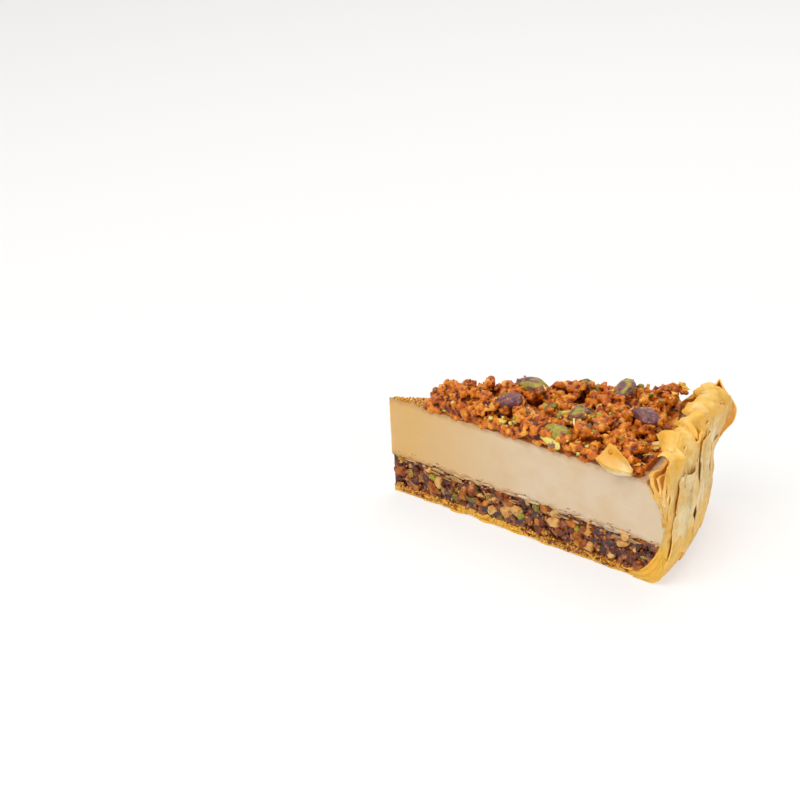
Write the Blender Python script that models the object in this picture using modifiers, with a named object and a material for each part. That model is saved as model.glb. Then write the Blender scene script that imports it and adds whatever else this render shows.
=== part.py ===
"""A slice of baklava cheesecake: a wedge cut from a round cake baked in a case of phyllo pastry.

From the bottom up it has the pastry's floor, a layer of chopped nuts in syrup, a thick layer of
baked cream cheese, and a heap of caramelised nut crumble with a few large pistachio kernels in it.
The pastry also rises behind the curved end as a wall, whose leaves stand above the filling as a
ruffled rim.

The cake's axis is Z, and the slice points along +X from its tip. Everything is worked out in
cylindrical coordinates about that axis, so a knife cut is a plane of constant angle. At the end
the slice is moved so that the origin is at the middle of its footprint.
"""

import math

import bmesh
import bpy
from mathutils import Matrix, Vector, noise

MM = 0.001

# The cake and the two knife cuts.
SLICE_ANGLE = math.radians(30)
CAKE_RADIUS = 127 * MM
TIP_RADIUS = 0.8 * MM  # the knife leaves the tip blunt
GAP = 0.3 * MM  # between neighbouring layers

# Heights above the base.
FLOOR_TOP = 3 * MM
FILLING_TOP = 17 * MM
CREAM_TOP = 42 * MM
HEAP_TOP = 51.5 * MM
RIM_TOP = 58 * MM

# The pastry wall's faces, as (distance in from CAKE_RADIUS, height), in millimetres.
OUTER_FACE = [(0.5, 48), (0, 40), (0, 29), (0, 18), (1, 9), (3.2, 3.6), (7, 0.8), (11, 0)]
INNER_FACE = [(11.5, 3), (7.5, 8), (4.6, 14), (2.8, 22), (3.6, 29), (7.8, 36), (12, 42.4)]
# The rim's three leaves with the gaps between them, from the filling outwards.
RIM_LEAVES = [
    (12.6, 47.5), (11.8, 52), (10.6, 52.2), (9.6, 47),
    (8.2, 50.5), (7.4, 55.5), (6.2, 55.8), (4.6, 48.5),
    (3, 51.5), (1.2, 57.6),
]
RIM_EDGE = [(-0.8, 58), (-0.6, 53)]

# The bumps of the nut filling's upper side.
BUMP_HEIGHT = 1.2 * MM
BUMP_LENGTH = 11 * MM

# The rim's ruffles: a pleat is one fold in and out along the edge, and a weaker one rides on it.
PLEAT_LENGTH = 13 * MM
PLEAT_DEPTH = 1.5 * MM
SMALL_PLEAT_LENGTH = 5.7 * MM
SMALL_PLEAT_DEPTH = 0.7 * MM
TEAR_LENGTH = 6 * MM  # the torn edge rises and falls over this length
TEAR_HEIGHT = 1.8 * MM
FLARE_REACH = 6.5 * MM  # how far the outermost leaf leans out at the corner that flares
FLARE_START = 0.35  # where it starts to flare, as a fraction of the way to that corner
FLARE_FOOT = 26 * MM  # the heights between which it leans out, and then back in
FLARE_KNEE = 43 * MM
FLARE_TOP_SHARE = 0.4  # how much of the lean is left at the rim's edge
RIM_DEPTH = 12.6 * MM  # from the outermost leaf in to the innermost
CREASE_WIDTH = 6 * MM  # the upright folds in the wall's outer side
CREASE_STRETCH = 6  # they are this many times as tall as wide
CREASE_DEPTH = 0.7 * MM
CREASE_FADE = 12 * MM  # they fade out over this height above the base
SWEEP_STEPS = 32

# The crumble: where it starts behind the bare tip and ends before the rim, and its lumps.
HEAP_START = 19 * MM
HEAP_START_WANDER = 2 * MM
HEAP_SLOPE_LENGTH = 9 * MM
HEAP_END_DEPTH = 14.4 * MM
HEAP_EDGE_HEIGHT = 3 * MM
HEAP_END_DROP = 0.12  # the heap is this much lower where it meets the rim
LUMP_SIZE = 5 * MM
LUMP_HEIGHT = 2.6 * MM
CUT_LUMP_SIZE = 4 * MM
CUT_SIDE_INSET = 1.2 * MM  # the crumble falls back from the knife cut by this much at its top

# The large kernels: distance from the tip and distance across in millimetres, the height of the
# middle in millimetres, the turn about Z and the tilt in degrees, and a scale.
KERNEL_SIZE = Vector((12.5, 7.6, 6.2)) * MM
KERNEL_NARROWING = 0.7  # how much slimmer its far end is than its near end
KERNELS = [
    (104.5, -3, 52.8, -25, 4, 1.0),
    (57, 8, 52.4, 6, 8, 0.98),
    (91.5, 14.5, 52.8, 78, -14, 0.92),
    (76, -17.6, 48.6, -16, 12, 0.9),
    (52.5, -5.5, 51.9, 14, -6, 0.88),
    (81, -8.5, 52.2, 60, 12, 0.85),
]

COLOURS = {
    "phyllo": ((0.78, 0.52, 0.22), 0.55),
    "nut_filling": ((0.26, 0.11, 0.04), 0.4),
    "cream_cheese": ((0.84, 0.72, 0.53), 0.5),
    "crumble": ((0.45, 0.18, 0.05), 0.5),
    "pistachio": ((0.36, 0.36, 0.07), 0.5),
}


# ---------------------------------------------------------------- shapes shared by the pieces

def polar(radius, angle, height):
    return Vector((radius * math.cos(angle), radius * math.sin(angle), height))


def bumps(along, up, length, seed):
    """Smooth random bumps from about -1 to 1 on a surface, each of them about length across."""
    return noise.noise(Vector((along / length, up / length, seed)))


def smoothstep(low, high, value):
    """0 below low, 1 above high, and smooth between them."""
    t = min(1.0, max(0.0, (value - low) / (high - low)))
    return t * t * (3 - 2 * t)


def inner_radius(height):
    """The radius of the pastry wall's inner face at a height below the top of the filling."""
    points = [(z * MM, CAKE_RADIUS - depth * MM) for depth, z in INNER_FACE]
    for (z0, r0), (z1, r1) in zip(points, points[1:]):
        if height <= z1:
            return r0 + (r1 - r0) * max(0.0, (height - z0) / (z1 - z0))
    return points[-1][1]


def flare(radius, angle, height):
    """How far the leaves lean out at the corner that flares, the outer ones most."""
    corner = smoothstep(FLARE_START, 1, angle / (SLICE_ANGLE / 2))
    lean = smoothstep(FLARE_FOOT, FLARE_KNEE, height)
    lean *= 1 - (1 - FLARE_TOP_SHARE) * smoothstep(FLARE_KNEE, RIM_TOP, height)
    outermost = smoothstep(CAKE_RADIUS - RIM_DEPTH, CAKE_RADIUS, radius)
    return FLARE_REACH * corner * lean * outermost


def ruffle(angle, height):
    """How far the rim's pleats move the pastry outwards at this angle and height."""
    along = angle * CAKE_RADIUS
    pleat = PLEAT_DEPTH * math.sin(math.tau * along / PLEAT_LENGTH)
    pleat += SMALL_PLEAT_DEPTH * math.sin(math.tau * along / SMALL_PLEAT_LENGTH + 1)
    return pleat * smoothstep(CREAM_TOP, RIM_TOP, height)


def tear(angle, height):
    """How far the rim's torn edge stands above or below its mean height."""
    torn = TEAR_HEIGHT * bumps(angle * CAKE_RADIUS, height, TEAR_LENGTH, 4)
    return torn * smoothstep(CREAM_TOP, RIM_TOP, height)


def wall_crease(angle, height):
    """The shallow upright folds of the wall's outer side."""
    crease = bumps(angle * CAKE_RADIUS, height / CREASE_STRETCH, CREASE_WIDTH, 0.7)
    return CREASE_DEPTH * crease * smoothstep(0, CREASE_FADE, height)


def filling_bumps(radius):
    """The uneven surface where the cream cheese was poured over the nuts."""
    return BUMP_HEIGHT * bumps(radius, 0, BUMP_LENGTH, 0.5)


def make_material(slot):
    colour, roughness = COLOURS[slot]
    material = bpy.data.materials.new(slot)
    material.use_nodes = True
    shader = material.node_tree.nodes["Principled BSDF"]
    shader.inputs["Base Color"].default_value = (*colour, 1)
    shader.inputs["Roughness"].default_value = roughness
    shader.inputs["Metallic"].default_value = 0.0
    return material


def add_object(name, bm, collection, slot=None):
    """Makes a named object from a bmesh, with its faces pointing out."""
    bm.normal_update()
    bmesh.ops.recalc_face_normals(bm, faces=bm.faces)
    mesh = bpy.data.meshes.new(name)
    bm.to_mesh(mesh)
    bm.free()
    if slot:
        mesh.materials.append(bpy.data.materials.get(slot) or make_material(slot))
    made = bpy.data.objects.new(name, mesh)
    collection.objects.link(made)
    return made


def divided_block(along, across, up):
    """A unit cube from 0 to 1 each way, cut into that many cells each way."""
    bm = bmesh.new()
    bmesh.ops.create_cube(bm, size=1, matrix=Matrix.Translation((0.5, 0.5, 0.5)))
    for axis, cells in enumerate((along, across, up)):
        edges = [
            e for e in bm.edges
            if abs(e.verts[0].co[axis] - e.verts[1].co[axis]) > 1e-6
        ]
        bmesh.ops.subdivide_edges(bm, edges=edges, cuts=cells - 1, use_grid_fill=True)
    return bm


def layer(name, slot, collection, cells, place):
    """A solid layer: place(u, v, w) gives the point for each fraction along, across and up."""
    bm = divided_block(*cells)
    for vert in bm.verts:
        vert.co = place(*vert.co)
    return add_object(name, bm, collection, slot)


def half_slice_angle(v):
    return (v - 0.5) * SLICE_ANGLE


# ---------------------------------------------------------------- the pieces

def wall_profile():
    """The closed outline of the pastry case in the plane of a cut, down its outer side first."""
    def placed(face):
        return [(CAKE_RADIUS - depth * MM, z * MM) for depth, z in face]

    tip = [(TIP_RADIUS, 0), (TIP_RADIUS, FLOOR_TOP)]
    return placed(RIM_EDGE + OUTER_FACE) + tip + placed(INNER_FACE + RIM_LEAVES)


def swept_wedge(points):
    """The outline turned through the slice's angle by a Screw modifier, as an open mesh."""
    mesh = bpy.data.meshes.new("profile")
    edges = [(i, (i + 1) % len(points)) for i in range(len(points))]
    mesh.from_pydata([(r, 0, z) for r, z in points], edges, [])
    profile = bpy.data.objects.new("profile", mesh)
    bpy.context.scene.collection.objects.link(profile)
    screw = profile.modifiers.new("turn", "SCREW")
    screw.angle = SLICE_ANGLE
    screw.steps = screw.render_steps = SWEEP_STEPS
    screw.use_merge_vertices = False
    graph = bpy.context.evaluated_depsgraph_get()
    swept = bpy.data.meshes.new_from_object(profile.evaluated_get(graph))
    bpy.data.objects.remove(profile)
    bm = bmesh.new()
    bm.from_mesh(swept)
    bpy.data.meshes.remove(swept)
    bmesh.ops.rotate(bm, verts=bm.verts, matrix=Matrix.Rotation(-SLICE_ANGLE / 2, 3, "Z"))
    return bm


def phyllo_case(collection):
    """The floor, the wall and the ruffled rim, in one piece as the pastry is baked."""
    bm = swept_wedge(wall_profile())
    bmesh.ops.holes_fill(bm, edges=[e for e in bm.edges if e.is_boundary])
    for vert in bm.verts:
        radius, angle, height = vert.co.xy.length, math.atan2(vert.co.y, vert.co.x), vert.co.z
        shift = ruffle(angle, height)
        if height > CREAM_TOP or radius > inner_radius(height) + GAP:
            shift += flare(radius, angle, height)
        if height < CREAM_TOP and radius > inner_radius(height) + GAP:
            shift += wall_crease(angle, height)
        vert.co = polar(radius + shift, angle, height + tear(angle, height))
    return add_object("phyllo_case", bm, collection, "phyllo")


def nut_filling(collection):
    """Chopped nuts in syrup, lying in the case."""
    def place(u, v, w):
        angle = half_slice_angle(v)
        height = FLOOR_TOP + GAP + w * (FILLING_TOP - FLOOR_TOP - GAP)
        reach = inner_radius(height) - GAP
        radius = TIP_RADIUS + u * (reach - TIP_RADIUS)
        return polar(radius, angle, height + w * filling_bumps(radius))

    return layer("nut_filling", "nut_filling", collection, (20, 12, 4), place)


def cream_cheese_layer(collection):
    """Baked cream cheese, from the nuts up to the crumble."""
    def place(u, v, w):
        angle = half_slice_angle(v)
        base = FILLING_TOP + GAP
        height = base + w * (CREAM_TOP - base)
        reach = inner_radius(height) - GAP
        radius = TIP_RADIUS + u * (reach - TIP_RADIUS)
        return polar(radius, angle, height + (1 - w) * filling_bumps(radius))

    return layer("cream_cheese_layer", "cream_cheese", collection, (20, 12, 6), place)


def heap_height(radius, angle, u):
    """The crumble's height above the cream, with its lumps and its slope down to the tip."""
    lumps = bumps(radius * math.cos(angle), radius * math.sin(angle), LUMP_SIZE, 0)
    slope = smoothstep(0, HEAP_SLOPE_LENGTH, radius - HEAP_START)
    end = 1 - HEAP_END_DROP * smoothstep(0.9, 1, u)
    full = HEAP_TOP - CREAM_TOP + LUMP_HEIGHT * lumps
    return HEAP_EDGE_HEIGHT + (full - HEAP_EDGE_HEIGHT) * slope * end


def nut_topping(collection):
    """The heap of crumble, out to its uneven outline."""
    def place(u, v, w):
        side = half_slice_angle(v)
        across = side * CAKE_RADIUS
        first = HEAP_START + HEAP_START_WANDER * bumps(across, 0, CUT_LUMP_SIZE, 9)
        probe = CREAM_TOP + w * (HEAP_TOP - CREAM_TOP)
        last = CAKE_RADIUS - HEAP_END_DEPTH + ruffle(side, probe)
        radius = first + u * (last - first)
        inset = CUT_SIDE_INSET * w * (1 + bumps(radius, probe, CUT_LUMP_SIZE, 5 * side))
        angle = side * (1 - inset / (radius * SLICE_ANGLE / 2))
        height = CREAM_TOP + GAP + w * heap_height(radius, angle, u)
        return polar(radius, angle, height)

    return layer("nut_topping", "crumble", collection, (38, 16, 3), place)


def kernel(name, collection, grow, spec, slot=None):
    """A pistachio kernel, narrower at one end, and grown by that much each way for its seat."""
    along, across, middle, turn, tilt, scale = spec
    bm = bmesh.new()
    bmesh.ops.create_uvsphere(bm, u_segments=16, v_segments=10, radius=0.5)
    size = KERNEL_SIZE * scale + Vector((grow, grow, grow))
    place = (
        Matrix.Translation(Vector((along, across, middle)) * MM)
        @ Matrix.Rotation(math.radians(turn), 4, "Z")
        @ Matrix.Rotation(math.radians(tilt), 4, "Y")
    )
    for vert in bm.verts:
        x, y, z = vert.co.z, vert.co.x, vert.co.y
        narrowing = 1 - KERNEL_NARROWING / 2 * x
        local = Vector((x * size.x, y * size.y * narrowing, z * size.z * narrowing))
        vert.co = place @ local
    return add_object(name, bm, collection, slot)


def add_kernels(collection, cutters, heap):
    """The large kernels, each in a seat cut out of the heap."""
    for number, spec in enumerate(KERNELS, start=1):
        made = kernel(f"pistachio_{number}", collection, 0, spec, "pistachio")
        made.data.shade_smooth()
        seat = kernel(f"seat_{number}", cutters, 2 * GAP, spec)
        seat.hide_render = True
        seat.display_type = "WIRE"
        cut = heap.modifiers.new(seat.name, "BOOLEAN")
        cut.operation = "DIFFERENCE"
        cut.solver = "EXACT"
        cut.object = seat


# ---------------------------------------------------------------- the slice

def new_collection(name):
    collection = bpy.data.collections.new(name)
    bpy.context.scene.collection.children.link(collection)
    return collection


def centre_on_footprint(pieces, others):
    """Parents everything to one empty, moved so that the base's middle is at the origin."""
    bpy.context.view_layer.update()
    graph = bpy.context.evaluated_depsgraph_get()
    corners = [
        Vector(corner) for piece in pieces for corner in piece.evaluated_get(graph).bound_box
    ]
    low = Vector(min(c[axis] for c in corners) for axis in range(3))
    high = Vector(max(c[axis] for c in corners) for axis in range(3))
    frame = bpy.data.objects.new("slice_frame", None)
    bpy.context.scene.collection.objects.link(frame)
    frame.location = (-(low.x + high.x) / 2, -(low.y + high.y) / 2, -low.z)
    for piece in [*pieces, *others]:
        piece.parent = frame


def main():
    for left_over in list(bpy.data.objects):
        bpy.data.objects.remove(left_over)
    slice_pieces = new_collection("baklava_cheesecake_slice")
    cutters = new_collection("cutters")
    phyllo_case(slice_pieces)
    nut_filling(slice_pieces)
    cream_cheese_layer(slice_pieces)
    heap = nut_topping(slice_pieces)
    add_kernels(slice_pieces, cutters, heap)
    centre_on_footprint(list(slice_pieces.objects), list(cutters.objects))


main()
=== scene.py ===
"""The looks of a slice of baklava cheesecake.

Laid out as a Blender add-on and run as a script: it loads the slice's frame, and each operator
models one group of pieces in place of the frame's plain solids. Lengths are in metres.

The cake's axis stands over the slice's tip, so most shapes are worked out in cylindrical
coordinates about it, and a knife cut is a plane of constant angle.
"""

import functools
import math

import bpy
import numpy as np
from mathutils import Matrix, Quaternion, Vector, bvhtree, kdtree, noise


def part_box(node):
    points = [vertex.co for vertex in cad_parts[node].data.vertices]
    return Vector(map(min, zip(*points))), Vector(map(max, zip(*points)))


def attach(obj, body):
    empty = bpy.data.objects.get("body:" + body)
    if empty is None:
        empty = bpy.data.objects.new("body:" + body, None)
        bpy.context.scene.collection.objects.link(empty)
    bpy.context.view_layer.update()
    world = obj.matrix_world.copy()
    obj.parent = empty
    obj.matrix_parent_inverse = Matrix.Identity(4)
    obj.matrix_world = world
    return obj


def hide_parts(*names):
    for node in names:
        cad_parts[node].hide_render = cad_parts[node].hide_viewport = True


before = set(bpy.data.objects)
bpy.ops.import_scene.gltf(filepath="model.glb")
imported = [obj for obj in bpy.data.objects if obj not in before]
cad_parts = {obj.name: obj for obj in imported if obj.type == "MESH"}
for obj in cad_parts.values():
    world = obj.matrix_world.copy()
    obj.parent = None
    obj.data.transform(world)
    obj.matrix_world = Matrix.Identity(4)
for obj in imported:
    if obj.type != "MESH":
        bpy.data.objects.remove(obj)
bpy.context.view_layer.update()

bl_info = {
    "name": "Baklava cheesecake slice",
    "version": (1, 0, 0),
    "blender": (4, 5, 0),
    "location": "View3D > Sidebar > Slice",
    "description": "Models the pastry, filling, cream and crumble of a slice of baklava cheesecake",
    "category": "Object",
}

MM = 0.001

# ---------------------------------------------------------------- sizes taken from the frame

CREAM_LOW, CREAM_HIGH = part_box("cream_cheese_layer")
FILLING_LOW, FILLING_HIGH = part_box("nut_filling")
HEAP_LOW, HEAP_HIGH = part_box("nut_topping")
CASE_LOW, CASE_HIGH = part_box("phyllo_case")

HALF_ANGLE = math.radians(15)
TIP_RADIUS = 0.8 * MM  # the knife leaves the tip blunt
THINNEST_WALL = 3.1 * MM
APEX = Vector(
    (CREAM_LOW.x - TIP_RADIUS * math.cos(HALF_ANGLE), (CREAM_LOW.y + CREAM_HIGH.y) / 2, 0)
)
CAKE_RADIUS = CREAM_HIGH.x - APEX.x + THINNEST_WALL
FLOOR_TOP = FILLING_LOW.z
FILLING_TOP = (CREAM_LOW.z + FILLING_HIGH.z) / 2
CREAM_TOP = CREAM_HIGH.z
RIM_TOP = 58 * MM
HEAP_START = HEAP_LOW.x - APEX.x
HEAP_END = HEAP_HIGH.x - APEX.x - 1.5 * MM

# The faces of the pastry wall from the floor up, as (distance in from CAKE_RADIUS, height) in mm.
OUTER_FACE = [
    (15, 0), (10, 0), (6, 1), (3.4, 4), (2.2, 10), (1.6, 20), (1.6, 32), (2, 42), (2.2, 50), (1, 56)
]
INNER_FACE = [
    (15, 3), (12.5, 3.2), (9.5, 6), (6, 11.5), (3.4, 18), (2.8, 24), (4, 30), (8, 36.5), (11.8, 42.5),
    (11.8, 52),
]
PATH_STEPS = 80
CRUMBLE_VOXEL = 0.53 * MM  # fine enough for single nodules to show

KERNELS = sorted(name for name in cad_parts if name.startswith("pistachio"))
# How much of each kernel its purple skin still covers, and how ripe green it is below.
KERNEL_SKINS = (0.85, 0.42, 0.55, 0.36, 0.85, 0.48)


# ---------------------------------------------------------------- arrays, noise and outlines

def smoothstep(low, high, value):
    t = np.clip((value - low) / (high - low), 0, 1)
    return t * t * (3 - 2 * t)


def row_points(radius, angle, height):
    """Points in the row frame from cylindrical coordinates about the cake's axis."""
    radius, angle, height = np.broadcast_arrays(radius, angle, height)
    return np.stack(
        [APEX.x + radius * np.cos(angle), APEX.y + radius * np.sin(angle), height], axis=-1
    )


def bumps(points, size, seed=0.0):
    """Smooth random values from about -1 to 1 at each point, for bumps of that size."""
    scaled = np.asarray(points) / size + seed
    values = [noise.noise(point) for point in scaled.reshape(-1, 3).tolist()]
    return np.array(values).reshape(scaled.shape[:-1])


def flat_bumps(along, up, size, seed=0.0):
    """The same on a surface that is measured along and up."""
    along, up = np.broadcast_arrays(along, up)
    return bumps(np.stack([along, up, np.zeros_like(along)], axis=-1), size, seed)


def zigzag(turns):
    """A wave of straight folds with slightly rounded creases, from -1 to 1."""
    return np.arcsin(0.96 * np.sin(math.tau * turns)) / math.asin(0.96)


def creases(along, up, size, seed):
    """The height of crumpled leaf: dished, tilted cells of that size which meet in sharp ridges."""
    rng = np.random.default_rng(seed)
    spots = np.stack(np.broadcast_arrays(along, up), axis=-1).reshape(-1, 2)
    low, high = spots.min(axis=0) - size, spots.max(axis=0) + size
    count = int(np.prod((high - low) / size)) + 4
    centres = rng.uniform(low, high, (count, 2))
    tilts = rng.normal(0, 0.5, (count, 2))
    gaps = spots[:, None, :] - centres[None]
    heights = (gaps**2).sum(-1) / size + (gaps * tilts).sum(-1)
    lowest = heights.min(axis=1) / size
    return (lowest - lowest.mean()).reshape(np.broadcast(along, up).shape)


def smooth_path(outline):
    """An outline in mm as a rounded line in metres, with its points evenly spaced."""
    line = np.array(outline, float) * MM
    for _ in range(3):
        start, end = line[:-1], line[1:]
        cut = np.stack([0.75 * start + 0.25 * end, 0.25 * start + 0.75 * end], axis=1)
        line = np.vstack([line[:1], cut.reshape(-1, 2), line[-1:]])
    along = np.concatenate([[0], np.hypot(*np.diff(line, axis=0).T).cumsum()])
    even = np.linspace(0, along[-1], PATH_STEPS)
    return np.stack([np.interp(even, along, line[:, axis]) for axis in (0, 1)], axis=-1)


OUTER_PATH = smooth_path(OUTER_FACE)
INNER_PATH = smooth_path(INNER_FACE)
EVEN_STEPS = np.linspace(0, 1, PATH_STEPS)


def wall_point(share, t):
    """The radius and height at t of the way up the wall; share is 0 outside and 1 inside."""
    depth, height = (
        (1 - share) * np.interp(t, EVEN_STEPS, OUTER_PATH[:, axis])
        + share * np.interp(t, EVEN_STEPS, INNER_PATH[:, axis])
        for axis in (0, 1)
    )
    return CAKE_RADIUS - depth, height


def way_up(height):
    """How far up the wall's outer side a height is."""
    return np.interp(height, OUTER_PATH[:, 1], EVEN_STEPS)


def inner_radius(height):
    return CAKE_RADIUS - np.interp(height, INNER_PATH[:, 1], INNER_PATH[:, 0])


# ---------------------------------------------------------------- modelling helpers

def deselect_all():
    if bpy.context.mode != "OBJECT":
        bpy.ops.object.mode_set(mode="OBJECT")
    bpy.ops.object.select_all(action="DESELECT")


def coordinates(piece):
    flat = np.empty(len(piece.data.vertices) * 3, np.float32)
    piece.data.vertices.foreach_get("co", flat)
    return flat.reshape(-1, 3).astype(float)


def set_coordinates(piece, points):
    piece.data.vertices.foreach_set("co", np.asarray(points, np.float32).ravel())
    piece.data.update()


def normals(piece):
    flat = np.empty(len(piece.data.vertices) * 3, np.float32)
    piece.data.vertex_normals.foreach_get("vector", flat)
    return flat.reshape(-1, 3).astype(float)


def set_attribute(piece, name, values):
    """Stores one number for each vertex, for the piece's material to read."""
    attribute = piece.data.attributes.new(name, "FLOAT", "POINT")
    attribute.data.foreach_set("value", np.asarray(values, np.float32))


def apply_modifier(piece, kind, **settings):
    bpy.context.view_layer.objects.active = piece
    modifier = piece.modifiers.new(kind.title(), kind)
    for name, value in settings.items():
        setattr(modifier, name, value)
    bpy.ops.object.modifier_apply(modifier=modifier.name)


def finish_piece(piece, name, material, nodes=(), smooth_angle=None):
    """Names a piece, shades it, gives it its material and ties it to the frame."""
    piece.name = piece.data.name = name
    piece.data.materials.clear()
    piece.data.materials.append(material)
    deselect_all()
    piece.select_set(True)
    bpy.context.view_layer.objects.active = piece
    if smooth_angle is None:
        bpy.ops.object.shade_smooth()
    else:
        bpy.ops.object.shade_smooth_by_angle(angle=math.radians(smooth_angle))
    piece.select_set(False)
    if nodes:
        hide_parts(*nodes)
    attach(piece, "root")
    return piece


def recalculate_normals(piece):
    deselect_all()
    piece.select_set(True)
    bpy.context.view_layer.objects.active = piece
    bpy.ops.object.mode_set(mode="EDIT")
    bpy.ops.mesh.select_all(action="SELECT")
    bpy.ops.mesh.normals_make_consistent(inside=False)
    bpy.ops.object.mode_set(mode="OBJECT")


def leaf(columns, rows, place, thickness):
    """A thin sheet: a grid whose corners place(u, v) moves, given a thickness."""
    deselect_all()
    bpy.ops.mesh.primitive_grid_add(x_subdivisions=columns, y_subdivisions=rows, size=1)
    piece = bpy.context.active_object
    u, v = coordinates(piece)[:, :2].T + 0.5
    set_coordinates(piece, place(u, v))
    apply_modifier(piece, "SOLIDIFY", thickness=thickness, offset=0)
    recalculate_normals(piece)
    return piece


def block(cells, place):
    """A solid: a cube cut into that many cells along, across and up, which place(u, v, w) moves."""
    deselect_all()
    bpy.ops.mesh.primitive_cube_add(size=1)
    piece = bpy.context.active_object
    bpy.context.tool_settings.mesh_select_mode = (False, True, False)
    for axis, count in enumerate(cells):
        # The operator makes 100 cuts at most, so a longer row of cells is halved once more.
        for cuts in (count // 2 - 1, 1) if count > 100 else (count - 1,):
            points = coordinates(piece)
            ends = np.empty(len(piece.data.edges) * 2, int)
            piece.data.edges.foreach_get("vertices", ends)
            one, other = points[ends.reshape(-1, 2).T, axis]
            bpy.ops.object.mode_set(mode="EDIT")
            bpy.ops.mesh.select_all(action="DESELECT")
            bpy.ops.object.mode_set(mode="OBJECT")
            piece.data.edges.foreach_set("select", np.abs(one - other) > 1e-4)
            bpy.ops.object.mode_set(mode="EDIT")
            bpy.ops.mesh.subdivide(number_cuts=cuts, smoothness=0)
            bpy.ops.object.mode_set(mode="OBJECT")
    u, v, w = coordinates(piece).T + 0.5
    set_coordinates(piece, place(u, v, w))
    recalculate_normals(piece)
    return piece


def joined(pieces):
    deselect_all()
    for piece in pieces:
        piece.select_set(True)
    bpy.context.view_layer.objects.active = pieces[0]
    bpy.ops.object.join()
    return bpy.context.active_object


def broken_bit(rng, subdivisions, flats):
    """Corners and faces of a broken bit: a ball of radius 1 with flats cut on it."""
    deselect_all()
    bpy.ops.mesh.primitive_ico_sphere_add(subdivisions=subdivisions, radius=1)
    ball = bpy.context.active_object
    points = coordinates(ball)
    faces = np.array([face.vertices[:] for face in ball.data.polygons])
    bpy.data.objects.remove(ball)
    for _ in range(flats):
        normal = rng.normal(size=3)
        normal /= np.linalg.norm(normal)
        over = np.maximum(points @ normal - rng.uniform(0.5, 0.85), 0)
        points -= over[:, None] * normal
    points *= 1 + 0.12 * bumps(points, 0.5, rng.uniform(0, 90))[:, None]
    return points, faces


def random_turn(rng):
    return np.array(Quaternion(rng.normal(size=4)).normalized().to_matrix())


def random_shape(rng, low, high, size, thinnest):
    """A random turn and stretch for a broken bit, low to high times that size and thinned unevenly."""
    return random_turn(rng) * (rng.uniform(low, high) * size * rng.uniform(thinnest, 1, 3))


def random_tint(rng, mean, spread):
    return np.clip(rng.normal(mean, spread), 0.1, 1)


def heap_of(bits, spots):
    """One mesh of many bits. A spot is (which bit, its 3x3 turn and size, its place, its tint)."""
    points, faces, tints, count = [], [], [], 0
    for which, shape, place, tint in spots:
        bit_points, bit_faces = bits[which % len(bits)]
        points.append(bit_points @ np.asarray(shape).T + place)
        faces.append(bit_faces + count)
        tints.append(np.full(len(bit_points), tint))
        count += len(bit_points)
    mesh = bpy.data.meshes.new("heap")
    mesh.from_pydata(np.concatenate(points), [], np.concatenate(faces).tolist())
    piece = bpy.data.objects.new("heap", mesh)
    bpy.context.scene.collection.objects.link(piece)
    set_attribute(piece, "tint", np.concatenate(tints))
    return piece


def smoothed(piece, rounds):
    """The mesh's corners after each has moved to the middle of its neighbours, a few times."""
    points = coordinates(piece)
    ends = np.empty(len(piece.data.edges) * 2, int)
    piece.data.edges.foreach_get("vertices", ends)
    one, other = ends.reshape(-1, 2).T
    degree = np.bincount(ends, minlength=len(points))[:, None]
    for _ in range(rounds):
        sums = [
            np.bincount(one, points[other, axis], len(points))
            + np.bincount(other, points[one, axis], len(points))
            for axis in range(3)
        ]
        points = np.stack(sums, axis=-1) / degree
    return points


def hollow_depth(piece, rounds):
    """How deep each corner lies in a hollow of the surface, in metres; below 0 on a bump."""
    return ((smoothed(piece, rounds) - coordinates(piece)) * normals(piece)).sum(axis=-1)


# ---------------------------------------------------------------- material helpers

def srgb(code):
    """An sRGB hex colour as linear red, green, blue and alpha."""
    channels = [int(code[i:i + 2], 16) / 255 for i in (1, 3, 5)]
    return [c / 12.92 if c <= 0.04045 else ((c + 0.055) / 1.055) ** 2.4 for c in channels] + [1.0]


def add(tree, kind, inputs=None, stops=None, **settings):
    """Adds a node with its settings and colour stops, and sets or links its inputs."""
    node = tree.nodes.new(kind)
    for name, value in settings.items():
        setattr(node, name, value)
    if stops:
        ramp = node.color_ramp
        while len(ramp.elements) < len(stops):
            ramp.elements.new(0.5)
        for element, (position, colour) in zip(ramp.elements, stops):
            element.position, element.color = position, colour
    for name, value in (inputs or {}).items():
        if isinstance(value, bpy.types.NodeSocket):
            tree.links.new(value, node.inputs[name])
        else:
            node.inputs[name].default_value = value
    return node


def new_material(name):
    """A material with only a Principled shader, and the piece's own coordinates."""
    material = bpy.data.materials.new(name)
    material.use_nodes = True
    tree = material.node_tree
    shader = tree.nodes["Principled BSDF"]
    place = add(tree, "ShaderNodeTexCoord").outputs["Object"]
    return material, tree, shader, place


# ---------------------------------------------------------------- materials

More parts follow.
